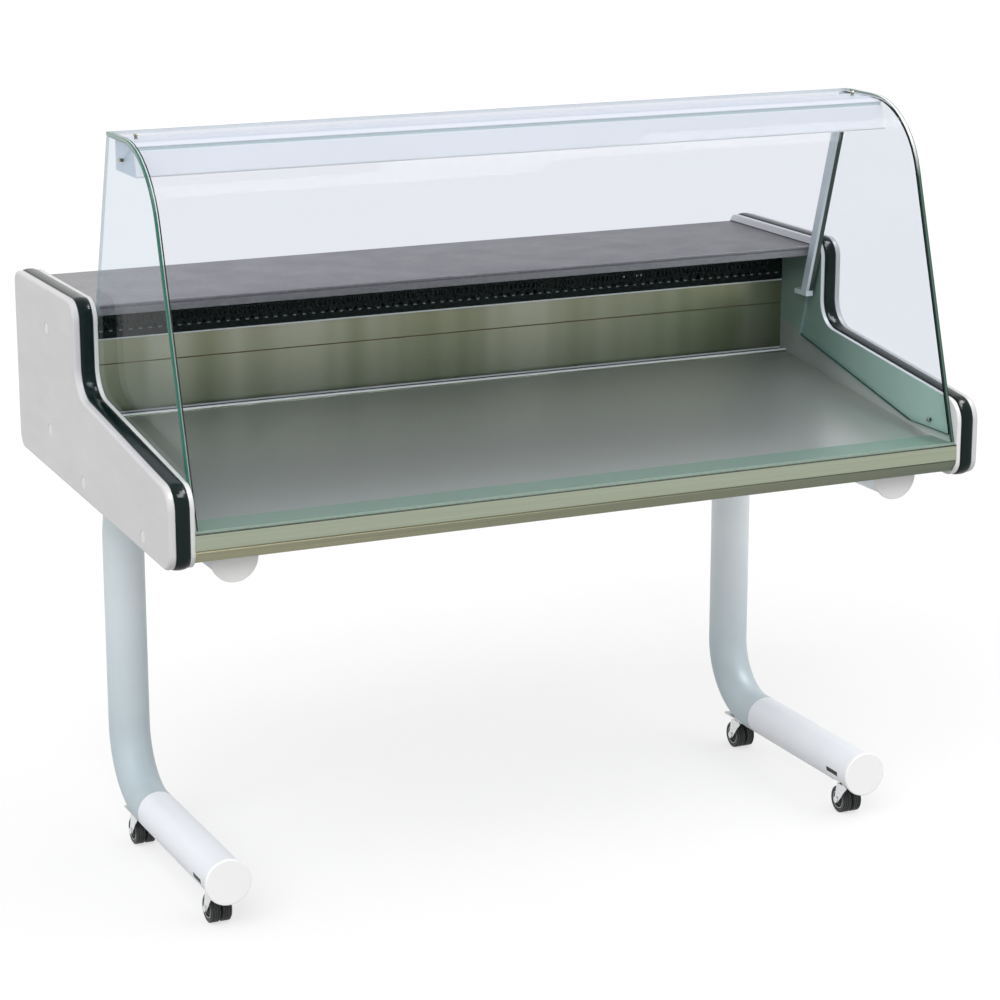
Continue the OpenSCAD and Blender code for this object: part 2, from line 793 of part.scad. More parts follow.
control_x = bay_x - 222;
control_z = board_z - 62;
control_w = 190;
control_h = 62;
control_t = 2;
control_y = cover_y + control_t;
knob_x = control_x - 66;
switch_xs = [control_x - 18, control_x + 14];
switch_w = 17;
rocker_r = 9;
inlet_x = control_x + 62;
inlet_w = 28;
inlet_h = 20;
knob_shaft_r = 3;
louvres = 6;
louvre_xs = [control_x - 150, control_x + 30];
louvre_pitch = 14;
louvre_z = bay_z + 24;

// Holes behind the controls, grown by a margin
module control_cutouts(y, t, grow) {
    from_front() {
        translate([knob_x, y, control_z]) rotate([-90, 0, 0]) cylinder(r = 8 + grow, h = t);
        for (x = switch_xs)
            translate([x - switch_w / 2 - grow, y, control_z - rocker_r - 1.5 - grow])
                cube([switch_w + 2 * grow, t, 2 * rocker_r + 3 + 2 * grow]);
        translate([inlet_x - inlet_w / 2 - grow, y, control_z - inlet_h / 2 - grow])
            cube([inlet_w + 2 * grow, t, inlet_h + 2 * grow]);
    }
}

// Plate with the thermostat's body behind it and a collar round each rocker
module control_plate() {
    body_w = 36;
    color(machine_black)
        difference() {
            union() {
                across(control_x - control_w / 2, control_x + control_w / 2)
                    polygon(rounded([
                        [cover_y, control_z - control_h / 2, 0], [control_y, control_z - control_h / 2, 1],
                        [control_y, control_z + control_h / 2, 1], [cover_y, control_z + control_h / 2, 0]
                    ]));
                from_front()
                    translate([knob_x - body_w / 2, cover_y - 24, control_z - 14])
                        cube([body_w, 24 - steel_t - skin, 28]);
                from_front()
                    translate([knob_x, cover_y - 3, control_z])
                        rotate([-90, 0, 0]) cylinder(r = 7.5, h = 4);
                for (x = switch_xs)
                    from_front()
                        translate([x - switch_w / 2 - 2, control_y - 1, control_z - rocker_r - 3.5])
                            cube([switch_w + 4, 3, 2 * rocker_r + 7]);
            }
            for (x = switch_xs)
                from_front()
                    translate([x - switch_w / 2, cover_y - 1, control_z - rocker_r - 1.5])
                        cube([switch_w, 8, 2 * rocker_r + 3]);
            from_front()
                translate([inlet_x - inlet_w / 2, cover_y - 1, control_z - inlet_h / 2])
                    cube([inlet_w, control_t + 2, inlet_h]);
            from_front()
                translate([knob_x, cover_y - 20, control_z])
                    rotate([-90, 0, 0]) cylinder(r = knob_shaft_r + run_fit, h = 30);
        }
}

// Fluted knob with a pointer slot, on its shaft
module thermostat_knob() {
    skirt_r = 15;
    grip_r = 11;
    flutes = 12;
    flute_depth = 0.8;
    knob_h = 13;
    color(cap_white)
        from_front()
            translate([knob_x, control_y + skin, control_z])
                rotate([-90, 0, 0])
                    difference() {
                        union() {
                            cylinder(r1 = skirt_r, r2 = skirt_r - 1, h = 4);
                            translate([0, 0, 3])
                                linear_extrude(knob_h - 3)
                                    polygon([for (i = [0 : 6 * flutes - 1]) let (a = i * 60 / flutes)
                                        (grip_r - flute_depth * (1 - cos(flutes * a)) / 2) * [cos(a), sin(a)]]);
                            translate([0, 0, -18]) cylinder(r = knob_shaft_r, h = 19);
                        }
                        translate([-0.6, -grip_r - 1, knob_h - 1]) cube([1.2, grip_r * 0.7, 2]);
                    }
}

rocker_rest = 7;

// Rocker whose two faces meet at the pivot
module rocker(x) {
    pivot_y = control_y + 1;
    across(x - switch_w / 2 + 0.4, x + switch_w / 2 - 0.4)
        translate([pivot_y, control_z])
            rotate([0, 0, rocker_rest])
                polygon([
                    for (i = [0 : 8]) rocker_r * [cos(90 + i * 22.5), sin(90 + i * 22.5)],
                    [3.2, -rocker_r + 0.8], [1.4, 0], [3.2, rocker_r - 0.8]
                ]);
}

module main_switch() {
    color(switch_green) rocker(switch_xs[0]);
}

module lamp_switch() {
    color(machine_black) rocker(switch_xs[1]);
}

// Recessed mains inlet with three blades
module power_inlet() {
    flange = 3;
    deep = 22;
    color(machine_black)
        from_front()
            translate([inlet_x, 0, control_z])
                difference() {
                    union() {
                        translate([-inlet_w / 2 - flange, control_y, -inlet_h / 2 - flange])
                            cube([inlet_w + 2 * flange, 2, inlet_h + 2 * flange]);
                        translate([-inlet_w / 2 + 0.2, control_y + 1 - deep, -inlet_h / 2 + 0.2])
                            cube([inlet_w - 0.4, deep, inlet_h - 0.4]);
                    }
                    difference() {
                        translate([-inlet_w / 2 + 2, control_y + 4 - deep, -inlet_h / 2 + 2])
                            cube([inlet_w - 4, deep, inlet_h - 4]);
                        for (p = [[-7, -1], [0, 3], [7, -1]])
                            translate([p.x - 1, control_y + 3 - deep, p.y - 2.5]) cube([2, 14, 4]);
                    }
                }
}

// ---------- refrigeration ----------

bay_mid_y = (wall_y + cover_y) / 2 + 4;
pot_r = bay_d * 0.387;
pot_x = bay_x - pot_r - 30;
pot_h = 160;
condenser_x = partition_x + partition_t + 40;
condenser_t = 44;
condenser_w = bay_d * 0.806;
condenser_h = 176;
coil_z = bay_z + 18;
evap_x0 = 62 - bay_x;
evap_l = partition_x - evap_x0 - 140;
evap_w = bay_d * 0.516;
evap_h = 70;
evap_z = bay_z + duct_floor;
evap_y = wall_y + bay_d * 0.161;
fan_r = evap_w * 0.48;
fan_xs = [evap_x0 + evap_l * 0.243, evap_x0 + evap_l * 0.743];
suction_y = evap_y + evap_w * 0.75;
liquid_y = evap_y + evap_w * 0.25;
pipe_x = partition_x + partition_t + 22;
drain_x = evap_x0 + 340;
drain_y = wall_y + bay_d * 0.43;
drain_r = 10;
fan_z = evap_z + evap_h + 42;
shaft_r = 3;

// Hermetic compressor: two deep-drawn halves, a welded flange, feet and terminals
module compressor() {
    foot_h = 12;
    base_w = pot_r * 1.78;
    color(machine_black)
        from_front()
            translate([pot_x, suction_y, bay_z]) {
                translate([0, 0, foot_h])
                    rotate_extrude()
                        polygon(bent([
                            [0, 0, 0], [pot_r - 14, 0, 12], [pot_r - 3, pot_h * 0.44, 4],
                            [pot_r, pot_h * 0.45, 1], [pot_r, pot_h * 0.5, 1],
                            [pot_r - 4, pot_h * 0.52, 3], [pot_r - 12, pot_h - foot_h - 12, 24],
                            [0, pot_h - foot_h, 0]
                        ]));
                for (x = [-1, 1], y = [-1, 1])
                    translate([x * (base_w / 2 - 14), y * (base_w / 2 - 14), 0]) cylinder(r = 10, h = foot_h);
                translate([-base_w / 2, -base_w / 2, foot_h - 3]) cube([base_w, base_w, 4]);
                translate([-pot_r - 16, -22, foot_h + 30]) cube([40, 44, 50]);
            }
}

// Block of fins on through tubes; along is the fins' spacing direction, X
module finned_coil(l, w, h, fins, tube_rows) {
    fin_t = 1.5;
    for (i = [0 : fins - 1])
        translate([i * (l - fin_t) / (fins - 1), 0, 0]) cube([fin_t, w, h]);
    for (row = tube_rows)
        translate([-10, row.x * w, row.y * h]) rotate([0, 90, 0]) cylinder(r = 4.5, h = l + 20);
}

module condenser() {
    rows = [[0.3, 0.2], [0.7, 0.2], [0.3, 0.5], [0.7, 0.5], [0.3, 0.8], [0.7, 0.8]];
    color(zinc)
        from_front()
            translate([condenser_x, bay_mid_y + condenser_w / 2, coil_z])
                rotate([0, 0, -90]) {
                    finned_coil(condenser_w, condenser_t, condenser_h, 19, rows);
                    for (x = [0, condenser_w - 1.5])
                        translate([x, 0, bay_z - coil_z])
                            cube([1.5, condenser_t, coil_z - bay_z + 1]);
                }
}

module evaporator() {
    color(zinc)
        from_front()
            translate([evap_x0, evap_y, evap_z])
                finned_coil(evap_l, evap_w, evap_h, 36, [[0.25, 0.3], [0.75, 0.3], [0.25, 0.7], [0.75, 0.7]]);
}

// Fan with pitched blades; its shaft points down the axis, into the motor
module axial_fan(r, blades) {
    hub_r = r * 0.3;
    shaft = 16;
    difference() {
        cylinder(r = hub_r, h = 14);
        translate([0, 0, 3]) cylinder(r = hub_r - 2.5, h = 12);
    }
    translate([0, 0, -shaft]) cylinder(r = shaft_r, h = shaft + 1);
    for (i = [0 : blades - 1])
        rotate([0, 0, i * 360 / blades])
            intersection() {
                difference() {
                    cylinder(r = r, h = 14);
                    translate([0, 0, -1]) cylinder(r = hub_r - 1, h = 16);
                }
                translate([0, 0, 7]) rotate([24, 0, 0])
                    translate([0, -r * 0.24, -0.75]) cube([r, r * 0.48, 1.5]);
            }
}

module fan_motor() {
    body_r = 18;
    body_h = 34;
    difference() {
        translate([0, 0, -body_h - skin]) cylinder(r = body_r, h = body_h);
        translate([0, 0, -18]) cylinder(r = shaft_r + run_fit, h = 20);
    }
}

condenser_fan_x = condenser_x + condenser_t + 18;
condenser_fan_z = coil_z + condenser_h / 2;
condenser_fan_r = condenser_w * 0.41;
fan_y = evap_y + evap_w / 2;

module at_condenser_fan() {
    from_front() translate([condenser_fan_x, bay_mid_y, condenser_fan_z]) rotate([0, -90, 0]) children();
}

module at_evaporator_fan(x) {
    from_front() translate([x, fan_y, fan_z]) children();
}

module condenser_fan() {
    color(machine_black) at_condenser_fan() axial_fan(condenser_fan_r, 5);
}

module evaporator_fan(x) {
    color(machine_black) at_evaporator_fan(x) axial_fan(fan_r, 5);
}

// Motors on their stands, one for each fan
module fan_motors() {
    stand_t = 3;
    color(zinc) {
        at_condenser_fan() fan_motor();
        from_front()
            difference() {
                translate([condenser_fan_x + 22, bay_mid_y - 14, bay_z])
                    cube([stand_t, 28, condenser_fan_z - bay_z]);
                translate([condenser_fan_x, bay_mid_y, condenser_fan_z])
                    rotate([0, 90, 0]) cylinder(r = 17, h = 40);
            }
        for (x = fan_xs) {
            at_evaporator_fan(x) fan_motor();
            from_front()
                difference() {
                    translate([x - 90, fan_y - 12, fan_z - 28]) cube([180, 24, stand_t]);
                    translate([x, fan_y, fan_z - 40]) cylinder(r = 17, h = 40);
                }
            from_front()
                for (side = [-1, 1]) {
                    translate([x + side * 88.5 - 1.5, fan_y - 12, evap_z + evap_h])
                        cube([3, 24, fan_z - 27 - evap_z - evap_h]);
                    translate([x + side * 88.5 - 12, fan_y - 12, evap_z + evap_h])
                        cube([24, 24, 1.5]);
                }
        }
    }
}

// Pipe runs between the compressor, the condenser and the evaporator
suction_run = [for (p = [
    [evap_x0 + evap_l + 10, suction_y, evap_z + evap_h * 0.7],
    [pipe_x, suction_y, evap_z + evap_h * 0.7], [pipe_x, suction_y, board_z - 34],
    [pot_x, suction_y, board_z - 34], [pot_x, suction_y, bay_z + pot_h - 0.4]
]) [p.x, p.y - case_d / 2, p.z]];

liquid_run = [for (p = [
    [evap_x0 + evap_l + 10, liquid_y, evap_z + evap_h * 0.3],
    [condenser_x, liquid_y, evap_z + evap_h * 0.3]
]) [p.x, p.y - case_d / 2, p.z]];

module refrigerant_pipes() {
    color(copper) {
        tube_run(suction_run, pipe_r, 20);
        tube_run(liquid_run, pipe_r, 20);
    }
}

// Drain from the evaporator's floor, below the tray
module drain_spigot() {
    reach = 28;
    color(trim_white)
        from_front()
            translate([drain_x, drain_y, tray_z - reach])
                difference() {
                    union() {
                        cylinder(r = drain_r, h = reach + tray_t + 8);
                        translate([0, 0, reach + tray_t]) cylinder(r = drain_r + 3.5, h = 2);
                    }
                    translate([0, 0, -1]) cylinder(r = drain_r - 2, h = reach + 20);
                }
}

// ---------- legs and casters ----------

leg_points = [
    [0, foot_y + cap_t, foot_z], [0, leg_y, foot_z],
    [0, leg_y, arm_z], [0, arm_y + cap_t, arm_z]
];
caster_ys = [front_swivel_y, rear_swivel_y];
pocket_l = 68;

// C-shaped tube with a flat pocket cut in its underside for each caster
module leg(x) {
    color(leg_silver)
        from_front() translate([x, 0, 0])
            difference() {
                tube_run(leg_points, leg_r, leg_bend_r);
                tube_run(concat([leg_points[0] - [0, 1, 0]], [leg_points[1], leg_points[2]],
                                [leg_points[3] - [0, 1, 0]]), leg_r - leg_wall, leg_bend_r);
                for (y = caster_ys)
                    translate([-leg_r - 1, y - pocket_l / 2, foot_z - leg_r - 1])
                        cube([2 * leg_r + 2, pocket_l, pocket_h + 1]);
            }
}

// Caps with a rounded rim and a plug that fits the tube's bore
module tube_caps() {
    plug_h = 4.5;
    cap_r = tube_cap_d / 2;
    plug_r = leg_r - leg_wall - 0.1;
    color(cap_white)
        from_front()
            for (x = [-leg_x, leg_x], end = [[arm_y, arm_z], [foot_y, foot_z]])
                translate([x, end.x, end.y])
                    rotate([-90, 0, 0])
                        rotate_extrude()
                            polygon(bent([
                                [0, 0, 0], [cap_r, 0, 2.5], [cap_r, cap_t, 1],
                                [plug_r, cap_t, 0], [plug_r, cap_t + plug_h, 1],
                                [0, cap_t + plug_h, 0]
                            ]));
}

// Saddles that seat on the arms and carry the tray
module arm_saddles() {
    color(leg_silver)
        from_front()
            for (x = [-leg_x, leg_x], y = saddle_ys)
                difference() {
                    translate([x - saddle_w / 2, y - saddle_l / 2, tray_z - saddle_drop])
                        cube([saddle_w, saddle_l, saddle_drop]);
                    translate([x, y - saddle_l, arm_z])
                        rotate([-90, 0, 0]) cylinder(r = leg_r, h = 2 * saddle_l);
                    for (side = [-1, 1])
                        translate([x + side * saddle_bolt_x, y, tray_z - saddle_drop - 1])
                            cylinder(r = saddle_bolt_d / 2 + hole_fit, h = saddle_drop + 2);
                }
}

module saddle_bolts() {
    head_h = 5.5;
    color(zinc)
        from_front()
            for (x = [-leg_x, leg_x], y = saddle_ys, side = [-1, 1])
                translate([x + side * saddle_bolt_x, y, tray_z - saddle_drop - head_h]) {
                    cylinder(d = saddle_bolt_d * 1.9, h = head_h, $fn = 6);
                    cylinder(d = saddle_bolt_d, h = head_h + saddle_drop + tray_t);
                }
}

// Flat plates that close the pockets and hold the kingpins
module caster_plates() {
    color(zinc)
        from_front()
            for (x = [-leg_x, leg_x], y = caster_ys)
                difference() {
                    translate([x - 28, y - 31, caster_h]) cube([56, 62, plate_t]);
                    translate([x, y, caster_h - 1]) cylinder(d = kingpin_d + 2 * run_fit, h = plate_t + 2);
                }
}

// Swivel fork with its kingpin and the wheels' axle
module fork(x, y) {
    axle_z = wheel_d / 2;
    leg_side = [
        [-race_r + 2, fork_z + fork_t, 2], [-race_r + 2, fork_z - 2, 4],
        [trail - 7, axle_z - 2, 6], [trail, axle_z - 8, 5],
        [trail + 7, axle_z - 1, 6], [race_r - 2, fork_z - 2, 4], [race_r - 2, fork_z + fork_t, 2]
    ];
    color(zinc)
        from_front() translate([x, y, 0]) {
            for (side = [-1, 1])
                translate([side > 0 ? fork_x : -fork_x - fork_t, 0, 0])
                    rotate([90, 0, 90]) linear_extrude(fork_t) polygon(rounded(leg_side));
            intersection() {
                translate([-fork_x - 1, -race_r + 2, fork_z]) cube([2 * fork_x + 2, 2 * race_r - 4, fork_t]);
                translate([0, 0, fork_z]) cylinder(r = fork_x + 2, h = fork_t);
            }
            translate([0, 0, fork_z + fork_t])
                cylinder(r = race_r, h = caster_h - skin - fork_z - fork_t);
            cylinder_at(caster_h - skin - 1, caster_h + plate_t + skin, kingpin_d / 2);
            cylinder_at(caster_h + plate_t + skin, caster_h + plate_t + skin + 3, kingpin_d / 2 + 3);
            translate([-fork_x - fork_t - 1.5, trail, axle_z])
                rotate([0, 90, 0]) cylinder(d = axle_d, h = 2 * (fork_x + fork_t + 1.5));
            for (side = [-1, 1])
                translate([side * (fork_x + fork_t + 1) - 1, trail, axle_z])
                    rotate([0, 90, 0]) cylinder(d = axle_d + 4, h = 2);
        }
}

module cylinder_at(z0, z1, r) {
    translate([0, 0, z0]) cylinder(r = r, h = z1 - z0);
}

// Wheel with a grooved tyre and a dished hub; side is -1 or 1 on the axle
module wheel(x, y, side) {
    r = wheel_d / 2;
    hub_r = r * 0.62;
    bore = axle_d / 2 + run_fit;
    w = wheel_w;
    rib = w / 9;
    tread = [for (i = [0 : 3]) each [
        [r - 1, rib * (2 * i + 0.6)], [r, rib * (2 * i + 0.9)],
        [r, rib * (2 * i + 1.9)], [r - 1, rib * (2 * i + 2.2)]
    ]];
    color(tyre_black)
        from_front()
            translate([x + side * (wheel_gap / 2 + w / 2), y + trail, r])
                rotate([0, 90, 0])
                    translate([0, 0, -w / 2])
                        rotate_extrude()
                            polygon(concat(
                                [[bore, 0], [bore + 4, 0], [bore + 5, 2.5], [hub_r - 1, 3.5],
                                 [hub_r, 0.8], [r - 3, 0]],
                                tread,
                                [[r - 3, w], [hub_r, w - 0.8], [hub_r - 1, w - 3.5],
                                 [bore + 5, w - 2.5], [bore + 4, w], [bore, w]]));
}

mirror([1, 0, 0]) outer_panel();  // left_outer_panel
outer_panel();  // right_outer_panel
mirror([1, 0, 0]) bumper();  // left_bumper
bumper();  // right_bumper
mirror([1, 0, 0]) inner_panel();  // left_inner_panel
inner_panel();  // right_inner_panel
panel_bolts();
bolt_caps();
front_rail();
glass_seal();
front_glass();
mirror([1, 0, 0]) side_glass();  // left_side_glass
side_glass();  // right_side_glass
canopy_screws();
lamp_housing();
housing_brackets();
lamp_tube();
lamp_holders();
canopy_post();
post_bracket();
worktop();
deck();
back_liner();
air_grille();
case_tray();
foam_insulation();
rear_cover();
control_plate();
thermostat_knob();
main_switch();
lamp_switch();
power_inlet();
compressor();
condenser();
condenser_fan();
evaporator();
evaporator_fan(fan_xs[0]);  // evaporator_fan_left
evaporator_fan(fan_xs[1]);  // evaporator_fan_right
fan_motors();
refrigerant_pipes();
drain_spigot();
leg(-leg_x);  // left_leg
leg(leg_x);  // right_leg
tube_caps();
arm_saddles();
saddle_bolts();
caster_plates();
fork(-leg_x, front_swivel_y);  // front_left_fork
fork(leg_x, front_swivel_y);  // front_right_fork
fork(-leg_x, rear_swivel_y);  // rear_left_fork
fork(leg_x, rear_swivel_y);  // rear_right_fork
wheel(-leg_x, front_swivel_y, -1);  // front_left_outer_wheel
wheel(-leg_x, front_swivel_y, 1);  // front_left_inner_wheel
wheel(leg_x, front_swivel_y, 1);  // front_right_outer_wheel
wheel(leg_x, front_swivel_y, -1);  // front_right_inner_wheel
wheel(-leg_x, rear_swivel_y, -1);  // rear_left_outer_wheel
wheel(-leg_x, rear_swivel_y, 1);  // rear_left_inner_wheel
wheel(leg_x, rear_swivel_y, 1);  // rear_right_outer_wheel
wheel(leg_x, rear_swivel_y, -1);  // rear_right_inner_wheel
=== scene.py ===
"""Looks of the mobile salad bar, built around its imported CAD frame. Lengths are in metres."""

import json
import math

import bpy
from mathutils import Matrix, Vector

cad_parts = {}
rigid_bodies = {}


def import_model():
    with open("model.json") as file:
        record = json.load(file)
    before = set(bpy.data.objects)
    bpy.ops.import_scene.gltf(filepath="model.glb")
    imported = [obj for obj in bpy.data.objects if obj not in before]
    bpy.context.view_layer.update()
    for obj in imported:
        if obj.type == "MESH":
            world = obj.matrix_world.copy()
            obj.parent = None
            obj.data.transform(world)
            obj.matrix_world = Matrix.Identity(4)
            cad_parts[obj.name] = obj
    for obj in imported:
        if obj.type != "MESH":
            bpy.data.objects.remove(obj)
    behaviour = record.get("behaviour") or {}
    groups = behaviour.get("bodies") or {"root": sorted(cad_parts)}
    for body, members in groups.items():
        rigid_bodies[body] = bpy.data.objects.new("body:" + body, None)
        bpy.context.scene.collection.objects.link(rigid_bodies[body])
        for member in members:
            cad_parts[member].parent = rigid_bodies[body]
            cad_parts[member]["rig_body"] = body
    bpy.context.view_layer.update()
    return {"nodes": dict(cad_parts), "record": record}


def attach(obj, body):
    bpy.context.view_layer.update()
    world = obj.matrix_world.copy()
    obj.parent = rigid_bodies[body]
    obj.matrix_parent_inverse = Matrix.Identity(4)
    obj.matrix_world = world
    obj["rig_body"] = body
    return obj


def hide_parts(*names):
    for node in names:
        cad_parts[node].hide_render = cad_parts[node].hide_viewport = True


# Camera: place, heading from +Y towards +X, downward pitch, and focal length on its sensor
CAMERA_AT = (-2.1575, -4.6571, 1.9675)
CAMERA_HEADING = math.radians(24.978)
CAMERA_PITCH = math.radians(14.766)
CAMERA_LENS_MM = 106.51
SENSOR_MM = 36

# Light. The softbox aims at LIGHT_AIM.
WORLD_FILL = 0.65
FLOOR_GLOW = 0.60
FLOOR_SIZE = 60
LIGHT_AIM = (0, 0, 1.1)

# Slack for telling one face from the next in a material, and for a vertex that lies on a face
HAIR = 0.0005
TOUCH = 0.0001

# Places on the part that its materials need. A pair is a start and an end.
INNER_FACE_X = 0.706
TRIM_SEAM_X = 0.7136
TRIM_GAP_Z = (1.008, 1.0115)
LINING_FOOT_Z = 0.70
LINING_SHADE_Y = (-0.33, 0.05)

WORKTOP_FRONT = 0.093
WORKTOP_UNDER = 0.991

GLASS_BACK = -0.020
GLASS_SLOPE = 0.3038
GLASS_FOOT = -0.6288
PANE_TOP = 1.310
PANE_REAR = 0.3766
PANE_GAP = 0.0004
PANE_FOOT_Z = 0.749
PANE_FOOT_BEND_Y = -0.265
PANE_FOOT_SLOPE = 0.2215
SEAL_FRONT_Y = -0.4085

# The front pane's ends: width of the painted reflection lines beside them, and where lines and
# ends turn pale as painted reflection
EDGE_BAND = 0.020
EDGE_GLARE_Z = (1.19, 1.25)
END_GLARE_Z = (1.27, 1.31)

RAIL_STEP_Z = (0.7077, 0.7086)
RAIL_LIP_Z = 0.7330
RAIL_TOP_Z = (0.7345, 0.7352)

# The grille: its foot, its height and the height of the row of holes with painted light as a share
# of it
GRILLE_Z = 0.928
GRILLE_H = 0.063
GRILLE_ROW = 0.26
HOLE_STEP = 0.009
HOLE_HALF = 0.0030
HOLE_LIP = (-0.0045, -0.0022)

GROOVE_Z = (1.3012, 1.3075)
BROW_Z = (1.3075, 1.3112)
HOUSING_TOP_Z = 1.3115
GROOVE_BACK_Y = -0.12
BROW_BACK_Y = -0.11
LAMP_CAP_X = 0.622

POST_SEAL_X = 0.6908
POST_FOOT_Z = 0.917
POST_SEAL_Z = POST_FOOT_Z + 0.01

WALL_Z = (0.78, 0.91)
WALL_HEM_Z = (0.9255, 0.9285)
WALL_SEAM_Z = (0.8805, 0.8832)
DECK_HEM_Z = (0.7925, 0.7955)
DECK_Y = (-0.34, 0.16)

LEG_BEND_Z = (0.16, 0.44)
FOOT_TOP_Z = 0.2
FOOT_SEAM_Y = (0.085, 0.0862)
FOOT_SLOT_Y = (-0.247, -0.209)
FOOT_SLOT_Z = (0.080, 0.089)
FOOT_LIP_Z = (0.077, 0.080)

# Rings on the tyres: along the axle in metres, and outwards as shares of the radius
TREAD_STEP = 0.0022
TREAD_GROOVE = 0.0006
TREAD_RIDGE = 0.0011
HUB_RING = (0.60, 0.66)
WALL_RING = (0.84, 0.87)


# ---------- shader building ----------


class Shader:
    """A material's node tree around one Principled shader."""

    def __init__(self, name, **sockets):
        self.material = bpy.data.materials.new(name)
        self.material.use_nodes = True
        self.tree = self.material.node_tree
        self.principled = self.tree.nodes["Principled BSDF"]
        self.output = self.tree.nodes["Material Output"]
        for socket, value in sockets.items():
            self.principled.inputs[socket.replace("_", " ")].default_value = value

    def node(self, kind, inputs=None, **settings):
        made = self.tree.nodes.new(kind)
        for name, value in settings.items():
            setattr(made, name, value)
        for socket, value in (inputs or {}).items():
            self.set(made.inputs[socket], value)
        return made

    def set(self, socket, value):
        if isinstance(value, bpy.types.NodeSocket):
            self.tree.links.new(value, socket)
        else:
            socket.default_value = value

    # Coordinates and patterns

    def place(self, scale=(1, 1, 1)):
        """Object coordinates, stretched."""
        coordinates = self.node("ShaderNodeTexCoord")
        mapping = self.node("ShaderNodeMapping", {"Scale": scale})
        self.tree.links.new(coordinates.outputs["Object"], mapping.inputs["Vector"])
        return mapping.outputs["Vector"]

    def axes(self):
        """X, Y and Z of the object coordinates."""
        split = self.node("ShaderNodeSeparateXYZ", {"Vector": self.place()})
        return split.outputs["X"], split.outputs["Y"], split.outputs["Z"]

    def noise(self, scale, detail=3.0, stretch=(1, 1, 1), roughness=0.5):
        inputs = {
            "Vector": self.place(stretch),
            "Scale": scale,
            "Detail": detail,
            "Roughness": roughness,
        }
        return self.node("ShaderNodeTexNoise", inputs).outputs["Fac"]

    def patches(self, scale, detail, to_low=0.0, to_high=1.0):
        """Noise with its middle spread over a range."""
        return self.range(self.noise(scale, detail), 0.3, 0.7, to_low, to_high)

    def facing(self, axis):
        """How far the flat normal points along an axis, either way."""
        normal = self.node("ShaderNodeNewGeometry").outputs["True Normal"]
        split = self.node("ShaderNodeSeparateXYZ", {"Vector": normal})
        return self.math("ABSOLUTE", split.outputs[axis])

    def outside(self):
        """1 where a ray meets the skin from outside."""
        return self.inverse(self.node("ShaderNodeNewGeometry").outputs["Backfacing"])

    def along_glass(self, y, z, slope):
        """Y of the point where a line with this slope meets the floor."""
        return self.math("ADD", y, self.math("MULTIPLY", z, slope))

    def over_pane_foot(self, y, z):
        """Height over the lower edge of the side panes, which runs level and then rises."""
        past_bend = self.math("MAXIMUM", self.math("SUBTRACT", y, PANE_FOOT_BEND_Y), 0.0)
        rise = self.math("MULTIPLY", past_bend, PANE_FOOT_SLOPE)
        return self.math("SUBTRACT", self.math("SUBTRACT", z, PANE_FOOT_Z), rise)

    # Sums and masks

    def math(self, operation, a, b=0.0):
        made = self.node("ShaderNodeMath", operation=operation)
        self.set(made.inputs[0], a)
        self.set(made.inputs[1], b)
        return made.outputs["Value"]

    def vector(self, operation, a, b=None):
        made = self.node("ShaderNodeVectorMath", {0: a}, operation=operation)
        if b is not None:
            self.set(made.inputs[1], b)
        return made.outputs["Value" if operation == "LENGTH" else "Vector"]

    def range(self, value, low, high, to_low=0.0, to_high=1.0):
        inputs = {
            "Value": value,
            "From Min": low,
            "From Max": high,
            "To Min": to_low,
            "To Max": to_high,
        }
        return self.node("ShaderNodeMapRange", inputs).outputs["Result"]

    def above(self, value, limit):
        return self.math("GREATER_THAN", value, limit)

    def below(self, value, limit):
        return self.math("LESS_THAN", value, limit)

    def within(self, value, low, high):
        return self.both(self.above(value, low), self.below(value, high))

    def both(self, a, b):
        return self.math("MULTIPLY", a, b)

    def either(self, a, b):
        return self.math("MAXIMUM", a, b)

    def inverse(self, value):
        return self.math("SUBTRACT", 1.0, value)

    # Colours

    def mix(self, factor, a, b):
        made = self.node("ShaderNodeMix", data_type="RGBA")
        self.set(made.inputs["Factor"], factor)
        for socket, value in ((6, a), (7, b)):
            is_link = isinstance(value, bpy.types.NodeSocket)
            self.set(made.inputs[socket], value if is_link else (*value, 1))
        return made.outputs[2]

    def steps(self, value, stops):
        """Colour and cover of the step that a value is on. stops: (start, (r, g, b, cover))."""
        made = self.node("ShaderNodeValToRGB", {"Fac": value})
        ramp = made.color_ramp
        ramp.interpolation = "CONSTANT"
        for index, (start, colour) in enumerate(stops):
            stop = ramp.elements[index] if index < 2 else ramp.elements.new(start)
            stop.position = start
            stop.color = colour
        return made.outputs["Color"], made.outputs["Alpha"]

    # Ends of the tree

    def colour(self, value):
        self.set(self.principled.inputs["Base Color"], value)

    def roughness(self, value):
        self.set(self.principled.inputs["Roughness"], value)

    def bump(self, height, distance, rounding=0.0):
        """Bump from a height. rounding softens the facets of narrow curved edges."""
        made = self.node("ShaderNodeBump", {"Height": height, "Distance": distance})
        if rounding:
            soft = self.node("ShaderNodeBevel", {"Radius": rounding}, samples=6)
            self.set(made.inputs["Normal"], soft.outputs["Normal"])
        self.set(self.principled.inputs["Normal"], made.outputs["Normal"])

    def grain(self, scale, distance, rounding=0.0):
        """Bump from fine, even noise."""
        self.bump(self.noise(scale, detail=2), distance, rounding)

    def surface(self, shader):
        self.set(self.output.inputs["Surface"], shader)


# ---------- kinds of material ----------


def plastic(name, light, dark, roughness, index=1.5, rounding=0.0):
    """Moulded plastic: fine grain, soft clouds in its colour and faint handling marks."""
    s = Shader(name, IOR=index)
    s.colour(s.mix(s.patches(6, 4), dark, light))
    marks = s.noise(34, detail=5, stretch=(1, 0.4, 1.6))
    s.roughness(s.range(marks, 0.35, 0.7, roughness - 0.05, roughness + 0.07))
    s.grain(1400, 0.00006, rounding)
    return s.material


